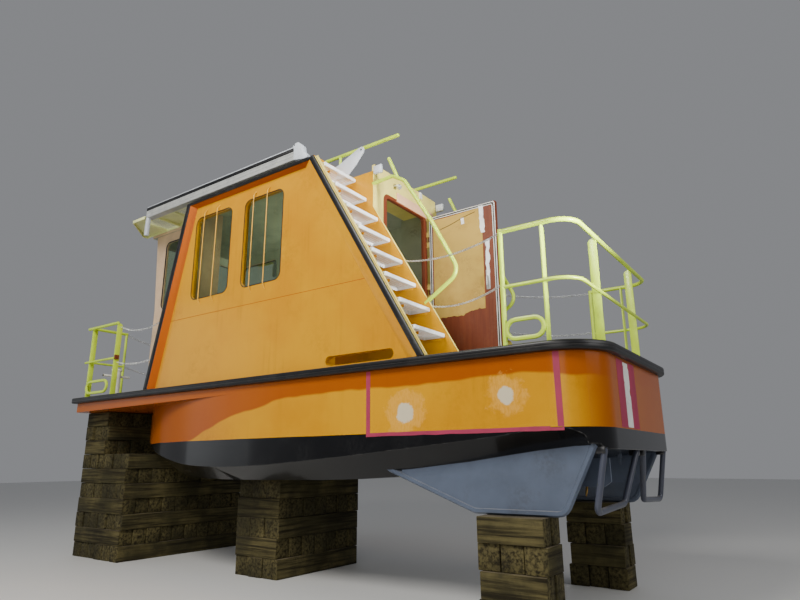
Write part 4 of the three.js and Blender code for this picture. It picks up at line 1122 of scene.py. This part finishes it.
def makeBulkhead(settings):
    dressed("aft_bulkhead", "aft_wall", [paleYellow, lining], 0.002,
            pick=lambda face: int(face.normal.x > 0.9))
    x, low, high, sill, head, curve, reach = (
        settings[k] for k in ("x", "starboard", "port", "sill", "head", "round", "reach"))
    bm = bmesh.new()
    inner = swelled((low, sill, high, head, curve + 0.002), -0.012, 6)
    outer = roundedRect(low - reach, sill - 0.010, high + reach, head + 0.030, curve + 0.030, 6)
    ringPlate(bm, outer, inner, lambda a, b: at(x - 0.004, a, b), Vector((0.005, 0, 0)), 0.001)
    outer = swelled((low, sill, high, head, curve), 0.004, 6)
    ringPlate(bm, outer, inner, lambda a, b: at(x - 0.003, a, b), Vector((0.047, 0, 0)), 0.001)
    finished("door_jambs", bm, primer)
    half, panelTop = settings["half"] - 0.004, settings["panelTop"]
    plates = (  # name, paint, slot, bars: depth aft of the wall, lower and upper corner (to port, up), edge
        ("bulkhead_side_panels", paleYellow, "orange_paint",
         ((0.004, (high + reach + 0.004, 0.020), (half, panelTop), 0.0015),
          (0.004, (low - reach - 0.090, 0.020), (low - reach - 0.004, panelTop), 0.0015))),
        ("doorway_fascia", fasciaPink, "orange_paint",
         ((0.014, (-0.580, head + 0.004), (0.230, head + 0.119), 0.003),)),
        ("landing_block", whitePaint, "white_paint", ((0.022, (-0.315, 2.340), (-0.265, 2.426), 0.004),)))
    for name, skin, slot, bars in plates:
        bm = bmesh.new()
        for depth, start, end, edge in bars:
            bar(bm, at(x - depth, *start), at(x + 0.001, *end), edge)
        finished(name, bm, skin)
    bm = bmesh.new()  # pale caps that close the tops of the stair's side plates
    for name, s in sides:
        bar(bm, at(2.446, s * 0.655, 2.290), at(2.556, s * 0.700, 2.384), 0.006)
    finished("stair_side_caps", bm, liftGrey)
    bm = bmesh.new()
    y, z = settings["lamp"]
    lathe(bm, settings["shade"], Vector((0, 0, 0)), 24)
    tilted = Matrix.Translation(at(x - 0.058, y, z)) @ Matrix.Rotation(math.radians(40), 4, "Y")
    bmesh.ops.transform(bm, matrix=tilted, verts=bm.verts)
    bar(bm, at(x - 0.050, y - 0.012, z - 0.004), at(x - 0.001, y + 0.012, z + 0.012), 0.003)
    finished("landing_lamp", bm, aluminium)


for name, s in sides:
    makeStairs(name, s, steps)
makeBulkhead(bulkhead)


# Door: primed leaf, stored open, with torn cardboard taped over it, a seal and an edge profile
door = {"x": 2.530, "width": 0.930, "inset": 0.020, "bottom": 0.105, "top": 2.108, "inner": -0.415,
        "scraps": (((1.775, 2.085), (1.752, 1.735), 0.028, 0.008),
                   ((1.700, 1.637), (1.706, 1.184), 0.022, 0.010),
                   ((2.028, 1.992), (2.020, 1.906), 0.021, 0.002)),  # start, end, half width, waver
        "string": ((2.409, 1.892), (2.200, 1.936), (2.024, 1.990), (1.846, 2.026)), "columns": 26,
        "torn": 0.740,
        "lines": ((0.004, 0.010, 0.030, 0.022, 0.0035, 0.001),  # inset, width, radii, thickness, edge
                  (0.030, 0.010, 0.030, 0.022, 0.0030, 0.001)),
        "seal": ((0.015, 0.014, 0.028, 0.020, 0.005, 0.002),)}


def makeDoor(settings):
    dressed("door_leaf", "aft_door", [primer], 0.003, body="aft_door")
    hinge = settings["x"] - settings["inset"]
    free, face = hinge - settings["width"], settings["inner"]
    bottom, top = settings["bottom"], settings["top"]
    bm = bmesh.new()
    upper, lower = [], []
    for i in range(settings["columns"] + 1):  # the sheet's lower edge is torn in a shallow, ragged line
        share = i / settings["columns"]
        x = hinge - 0.060 + (free + 0.180 - hinge + 0.060) * share
        wave = 0.060 * share + 0.018 * math.sin(9 * share)
        torn = settings["torn"] + wave + random.uniform(-0.012, 0.012)
        upper.append(at(x, face, top - 0.050 - 0.006 * math.sin(5 * share)))
        lower.append(at(x, face, torn))
    prism(bm, upper + lower[::-1], toPort(0.004))
    finished("cardboard_sheet", bm, cardboard, body="aft_door")
    bm = bmesh.new()  # grey strip at the sheet's torn edge, a white rag under it and a tag on the string
    for (x0, z0), (x1, z1), wide, waver in settings["scraps"]:
        rows = [(i / 9, random.uniform(-waver, waver), random.uniform(-waver, waver)) for i in range(10)]
        left = [at(x0 + (x1 - x0) * t - wide + a, face, z0 + (z1 - z0) * t) for t, a, b in rows]
        right = [at(x0 + (x1 - x0) * t + wide + b, face, z0 + (z1 - z0) * t) for t, a, b in rows]
        prism(bm, left + right[::-1], toPort(0.0062))
    finished("cardboard_tape", bm, treadMetal, body="aft_door")
    bm = bmesh.new()
    pipe(bm, sideView(settings["string"], face + 0.0065), 0.0028, 0.02, count=8, steps=3)
    finished("door_string", bm, gasket, body="aft_door")
    for name, rings, skin, slot in (("door_edge_lines", "lines", whitePaint, "white_paint"),
                                    ("door_seal", "seal", rubberBlack, "black_rubber")):
        bm = bmesh.new()
        for inset, width, wideRound, tightRound, thick, edge in settings[rings]:
            outer, inner = [roundedRect(free + d, bottom + d, hinge - d, top - d, curve)
                            for d, curve in ((inset, wideRound), (inset + width, tightRound))]
            ringPlate(bm, outer, inner, lambda a, b: at(a, face, b), toPort(thick), edge)
        finished(name, bm, skin, body="aft_door")
    bm = bmesh.new()  # latch plate and lever on the stored leaf's face
    bar(bm, at(free + 0.105, face, 1.020), at(free + 0.155, face + 0.006, 1.260), 0.003)
    grip = ((0.004, 1.180), (0.040, 1.180), (0.040, 1.060))  # out from the leaf, and level
    pipe(bm, [at(free + 0.130, face + out, z) for out, z in grip], 0.008, 0.016)
    finished("door_latch", bm, aluminium, body="aft_door")


makeDoor(door)
print("stairs, bulkhead and door made")


# Roof: deck, fenders with brackets, perforated walkways, lever plate
fender = {"aft": 3.300, "fore": 6.230, "inner": 1.1505, "outer": 1.2495, "bottom": 2.461, "metal": 2.566,
          "rubber": 2.620, "lip": 2.660, "grooves": (0.034, 0.076),
          "bolts": ((3.262, 2.496), (3.196, 2.472)),
          "hook": ((3.318, 2.652), (3.282, 2.632), (3.284, 2.664), (3.231, 2.666), (3.163, 2.604),
                   (3.146, 2.530), (3.084, 2.462), (3.084, 2.430), (3.140, 2.428), (3.299, 2.462),
                   (3.299, 2.596)),
          "leg": ((6.228, 2.520), (6.150, 2.520), (6.150, 2.486), (6.186, 2.470), (6.196, 2.205),
                  (6.240, 2.205))}
walkway = {"bottom": 2.460, "top": 2.500, "aft": 5.281, "inner": 0.7605, "tip": (6.950, 0.840),
           "corner": 6.560, "past": 6.262, "beside": 1.1495, "outer": 1.2495,
           "holes": ((5.380, 5.740), (6.110, 6.430)), "sheet": 0.004, "cells": (11, 12, 0.72),
           "plate": 0.006}
lever = {"near": 0.7215, "thick": 0.011, "eye": (2.716, 2.634, 0.012), "boss": 0.014, "proud": 0.0062,
         "edge": ((3.0745, 2.350), (3.0745, 2.5005), (3.200, 2.5005), (3.190, 2.520), (3.068, 2.534),
                  (2.976, 2.572), (2.747, 2.668), (2.706, 2.672), (2.680, 2.654), (2.670, 2.626),
                  (2.678, 2.594), (2.785, 2.470), (2.925, 2.350))}


def makeLeverPlate(settings):
    bm = bmesh.new()
    y, thick, (x, z, radius), proud = (settings[k] for k in ("near", "thick", "eye", "proud"))
    prism(bm, sideView(settings["edge"], y), toPort(thick), 0.0015)
    turned = Matrix.Translation(at(x, y + thick / 2, z)) @ Matrix.Rotation(math.pi / 2, 4, "X")
    ring, rim = bmesh.new(), radius + settings["boss"]  # a boss with a dark bore at the lifting eye
    profile = [(radius, -proud), (rim, -proud), (rim, proud), (radius, proud), (radius, -proud)]
    lathe(ring, profile, Vector((0, 0, 0)), 28)
    bmesh.ops.transform(ring, matrix=turned, verts=ring.verts)
    joined(bm, ring)
    finished("lever_plate_bar", bm, liftGrey, "lever_plate")
    bm = bmesh.new()
    bmesh.ops.create_cone(bm, cap_ends=True, segments=24, radius1=radius, radius2=radius, depth=0.0116,
                          matrix=turned)
    finished("lever_eye_bush", bm, rubberBlack)


def roofPick(face):
    if abs(face.normal.z) > 0.9:
        return 1 if face.normal.z > 0 else 2
    if face.calc_center_median().x > at(5.300, 0, 0).x:
        return 3
    # the long side faces aft of 5.3 m take the black rubber material, so the strip under the fenders is dark
    return 4 if abs(face.normal.y) > 0.5 else 0


def makeFender(name, s, settings):
    aft, fore, inner, outer, bottom, metal, rubberTop, lip = (
        settings[k] for k in ("aft", "fore", "inner", "outer", "bottom", "metal", "rubber", "lip"))
    bm = bmesh.new()
    face = [(inner, bottom), (outer, bottom)]
    for groove in settings["grooves"]:
        cut = ((0, 0), (0.005, 0.004), (0.005, 0.010), (0, 0.014))  # depth and level above the groove's foot
        face += [(outer - depth, bottom + groove + up) for depth, up in cut]
    face += [(outer, metal), (outer - 0.075, metal), (outer - 0.075, rubberTop), (outer - 0.060, rubberTop),
             (outer - 0.060, lip), (inner, lip)]
    prism(bm, [at(aft, s * y, z) for y, z in face], Vector((fore - aft, 0, 0)), 0.0015, 1)
    finished("roof_fender_" + name + "_metal", bm, aluminium, "roof_fender_" + name)
    bm = bmesh.new()
    strip = [(0.074, metal + 0.001), (0.010, metal + 0.001), (0.002, metal + 0.012),
             (0.002, rubberTop - 0.012),
             (0.010, rubberTop - 0.001), (0.074, rubberTop - 0.001)]  # inset and level
    prism(bm, [at(aft - 0.004, s * (outer - inset), z) for inset, z in strip],
          Vector((fore - aft + 0.008, 0, 0)), 0.003)
    finished("roof_fender_" + name + "_rubber", bm, rubberBlack)
    bm = bmesh.new()
    bar(bm, at(aft + 0.004, s * (outer - 0.061), rubberTop),
        at(fore - 0.004, s * (outer - 0.006), rubberTop + 0.009), 0.001)
    prism(bm, sideView(settings["hook"], s * (outer - 0.062)), toPort(s * 0.0617), 0.0015)
    bar(bm, at(3.150, s * (inner + 0.002), 2.432), at(3.290, s * (outer - 0.058), 2.448), 0.003)
    for x, z in settings["bolts"]:
        pipe(bm, [at(x, s * (outer - 0.006), z), at(x, s * (outer + 0.0004), z)], 0.009, count=6)
    prism(bm, sideView(settings["leg"], s * (outer - 0.052)), toPort(s * 0.050), 0.0015)
    finished("roof_fender_" + name + "_brackets", bm, liftGrey)


def makeWalkway(name, s, settings):
    low, high, aft, inner, beside, outer, past, corner, plate = (
        settings[k] for k in ("bottom", "top", "aft", "inner", "beside", "outer", "past", "corner",
                              "plate"))
    deck, skin, tip = bmesh.new(), bmesh.new(), settings["tip"]
    plain = [aft] + [x for hole in settings["holes"] for x in hole]
    for start, end in zip(plain[::2], plain[1::2]):
        bar(deck, at(start, s * inner, high - plate), at(end, s * beside, high), 0.001)
    for hole in settings["holes"]:
        perforated(skin, (hole[0], inner), (hole[1], beside), s, high - settings["sheet"],
                   *settings["cells"])
        for x in hole:  # bearers under the strip's edges
            bar(deck, at(x - 0.006, s * inner, low), at(x + 0.006, s * beside, high - 0.007), 0.002)
    end = plain[-1]
    nose = [(end, inner), (tip[0], inner), tip, (corner, outer), (past, outer), (past, beside),
            (end, beside)]
    prism(deck, [at(x, s * y, high - plate) for x, y in nose], Vector((0, 0, plate)), 0.001)
    rim = [(aft, inner + 0.004), (tip[0] - 0.004, inner + 0.004), (tip[0] - 0.004, tip[1]),
           (corner, outer - 0.0045), (past + 0.004, outer - 0.0045)]
    for (x0, y0), (x1, y1) in zip(rim, rim[1:]):
        along = Vector((x1 - x0, s * (y1 - y0), 0)).normalized() * 0.004
        across = Vector((-along.y, along.x, 0))
        start, end = at(x0, s * y0, low), at(x1, s * y1, low)
        prism(deck, [start - across, end - across, end + across, start + across],
              Vector((0, 0, high - low - 0.0005)), 0.001)
    bar(deck, at(aft, s * (beside - 0.008), low), at(past, s * beside, high - 0.0005), 0.001)
    addSkin(deck, skin, settings["sheet"])
    finished("walkway_frame_" + name, deck, paleLime, "walkway_" + name)


skins = [orangeGloss, deckGrey, lining, beige, rubberBlack]
dressed("roof_panel", "roof_deck", skins, 0.004, pick=roofPick)
makeLeverPlate(lever)
for name, s in sides:
    makeFender(name, s, fender)
    makeWalkway(name, s, walkway)
print("roof made")

aftChains = (("upper", 0.985, 1.150, 0.070), ("lower", 0.520, 0.600, 0.060))  # level, post, house, sag
bowChains = (("upper", 0.955, 0.950, 0.110), ("lower", 0.450, 0.440, 0.060))
for name, s in sides:
    for level, rail, house, sag in aftChains:
        start, end = at(0.802, s * 1.198, rail), at(stringerEdge(house) - 0.002, s * 0.675, house)
        makeChain(f"chain_aft_{level}_{name}", start, end, sag)
    for level, rail, house, sag in bowChains:
        start, end = at(6.692, s * 1.170, rail), at(wallEdge("fore", house) + 0.002, s * 1.150, house)
        makeChain(f"chain_bow_{level}_{name}", start, end, sag)
for level, z, sag in (("upper", 0.989, 0.110), ("lower", 0.500, 0.090)):
    makeChain("chain_centre_" + level, at(7.350, 0.671, z), at(7.350, -0.671, z), sag)
print("chains made")


# Bollards and underwater fittings
bollard = {"x": 7.050, "y": 0.950, "cross": 0.300, "half": 0.198, "radius": 0.016, "collar": 0.190,
           "profile": ((0.0, 0.0005), (0.088, 0.0005), (0.090, 0.004), (0.088, 0.014), (0.064, 0.016),
                       (0.060, 0.022), (0.060, 0.370), (0.064, 0.376), (0.071, 0.378), (0.072, 0.384),
                       (0.072, 0.394), (0.068, 0.3995), (0.0, 0.3995))}
hoop = {"route": ((0.122, 0.962, -0.815), (0.210, 1.000, -1.290), (0.200, 0.310, -1.260),
                  (0.106, 0.100, -0.815)),
        "radius": 0.025, "bend": 0.060, "clamps": ((0.118, 0.962, -0.838), (0.100, 0.098, -0.850))}


def makeBollard(name, s, settings):
    bm = bmesh.new()
    x, y, z, half, radius, collar = (settings[k] for k in ("x", "y", "cross", "half", "radius", "collar"))
    lathe(bm, settings["profile"], at(x, s * y, 0), 40)
    tubes = [(-half, half, radius)]
    tubes += [(end - 0.008, end + 0.008, radius + 0.0005) for end in (-collar, collar)]
    for near, far, thick in tubes:
        pipe(bm, [at(x, s * y + near, z), at(x, s * y + far, z)], thick, count=18)
    finished("bollard_post_" + name, bm, whitePaint, "bollard_" + name)


def makeHoop(name, s, settings):
    bm = bmesh.new()
    pipe(bm, [at(x, s * y, z) for x, y, z in settings["route"]], settings["radius"], settings["bend"],
         count=18)
    finished("hoop_tube_" + name, bm, hoopGrey, "guard_hoop_" + name)
    bm = bmesh.new()  # black pads where the tube meets the hull
    for x, y, z in settings["clamps"]:
        bar(bm, at(x - 0.006, s * y - 0.036, z - 0.024), at(x + 0.070, s * y + 0.036, z + 0.030), 0.006)
    finished("hoop_pads_" + name, bm, blackGloss)


for name, s in sides:
    makeBollard(name, s, bollard)
for name, s in sides:
    dressed("skeg_plate_" + name, "skeg_" + name, [blueGrey], 0.002)
    makeHoop(name, s, hoop)
    dressed("bracket_" + name, "shaft_bracket_" + name, [blackGloss], 0.002)
    dressed("screw_" + name, "propeller_" + name, [bronze], 0.002, body="propeller_" + name)
    dressed("rudder_blade_" + name, "rudder_" + name, [blueGrey], 0.003,
            body="rudder_" + name)
print("fittings made")


# Timber cribs: plan corners, layers and level of the top; the bow crib steps back above its lower layers
cribs = {"floor": -2.150, "timber": 0.205, "ragged": (0.002, 0.030), "edge": 0.007, "gap": (0.001, 0.006),
         "rows": (("bow_timbers", "crib_bow", 6.450, 7.040, 7.600, -1.000, 1.000, 10, 7, -0.2053),
                  ("mid_timbers", "crib_mid", 3.850, 3.850, 4.550, -0.700, 0.700, 5, 5, -1.1003),
                  ("aft_timbers_port", "crib_aft_port", 0.550, 0.550, 1.150, 0.840, 1.160, 4, 4, -1.3333),
                  ("aft_timbers_starboard", "crib_aft_starboard", 0.550, 0.550, 1.150, -1.160, -0.840, 4, 4,
                   -1.3333))}


def timberBar(bm, low, high, axis):
    # one square timber with worn edges and ends sawn a little short
    ends = [random.uniform(*cribs["ragged"]), random.uniform(*cribs["ragged"])]
    low, high = at(*low), at(*high)
    low[axis] += ends[0]
    high[axis] -= ends[1]
    for vert in bar(bm, low, high, cribs["edge"]):
        if random.random() < 0.35:
            inward = (low + high) / 2 - vert.co
            inward[axis] *= 0.02
            vert.co += inward * random.uniform(0.0, 0.03)


def makeCrib(name, node, aft, stem, fore, low, high, layers, under, top):
    lengthwise, crosswise = bmesh.new(), bmesh.new()
    height = (top - cribs["floor"]) / layers
    for layer in range(layers):
        back = aft if layer < under else stem
        bottom = cribs["floor"] + height * layer + 0.0005
        above = bottom + height - 0.0025
        alongX = layer % 2 == 1
        span = (high - low) if alongX else (fore - back)
        count = max(1, round(span / cribs["timber"]))
        for i in range(count):
            a = span * i / count + random.uniform(*cribs["gap"])
            b = span * (i + 1) / count - random.uniform(*cribs["gap"])
            if alongX:
                timberBar(lengthwise, (back, low + a, bottom), (fore, low + b, above), 0)
            else:
                timberBar(crosswise, (back + a, low, bottom), (back + b, high, above), 1)
    finished(name + "_crosswise", crosswise, timberCross, node)
    finished(name + "_lengthwise", lengthwise, timberLong, node)


for row in cribs["rows"]:
    makeCrib(*row)
print("cribs made")


# Floor and soft studio light: a lamp above the port side, a fill to port, a window at the bow
studio = {"world": 0.26, "sky": (0.93, 0.95, 1.0, 1), "floor": 40, "grey": paint(214, 214, 212), "lamps": (
    # name, place, aim, size, power, spread in degrees, tint
    ("side_key", (-1.0, 6.8, 7.6), (0, 0, 2), 2.6, 640, 180, (1, 0.97, 0.92)),
    ("port_fill", (-4.5, 9.5, 4.5), (0, 0, 2), 5, 215, 180, (1, 0.98, 0.95)),
    ("bow_window", (11, 7.5, 3.5), (0, 0, 2), 5, 80, 180, (0.93, 0.97, 1)),
    ("stern_fill", (-9, 0.5, 5), (0, 0, 2), 4, 150, 180, (1, 0.98, 0.95)),
    ("stair_fill", (-5.7, 1.3, 2.7), (-1.7, 0.8, 3.7), 0.6, 42, 50, (0.96, 0.98, 1)),
    ("cabin_fill", (0.6, 0.0, 3.2), (0, 0, 6), 0.5, 10, 180, (0.98, 1, 0.94)))}


def makeStage(settings):
    bm = bmesh.new()
    bmesh.ops.create_grid(bm, x_segments=1, y_segments=1, size=settings["floor"])
    floor = linked("studio_floor", meshOf("studio_floor", bm))
    material, tree, sockets, where = newMaterial("studio_floor")
    surfaced(tree, sockets, settings["grey"], 0.6)
    floor.data.materials.append(material)
    world = bpy.data.worlds.new("studio")
    world.use_nodes = True
    world.node_tree.nodes["Background"].inputs["Color"].default_value = settings["sky"]
    world.node_tree.nodes["Background"].inputs["Strength"].default_value = settings["world"]
    bpy.context.scene.world = world
    for name, stand, aim, size, power, spread, tint in settings["lamps"]:
        data = bpy.data.lights.new(name, "AREA")
        data.spread = math.radians(spread)
        data.size = size
        data.energy = power
        data.color = tint
        lamp = linked(name, data)
        lamp.visible_camera = lamp.visible_transmission = name != "cabin_fill"  # unseen through the windows
        turned = (Vector(aim) - Vector(stand)).to_track_quat("-Z", "Y").to_matrix().to_4x4()
        lamp.matrix_world = Matrix.Translation(stand) @ turned


makeStage(studio)
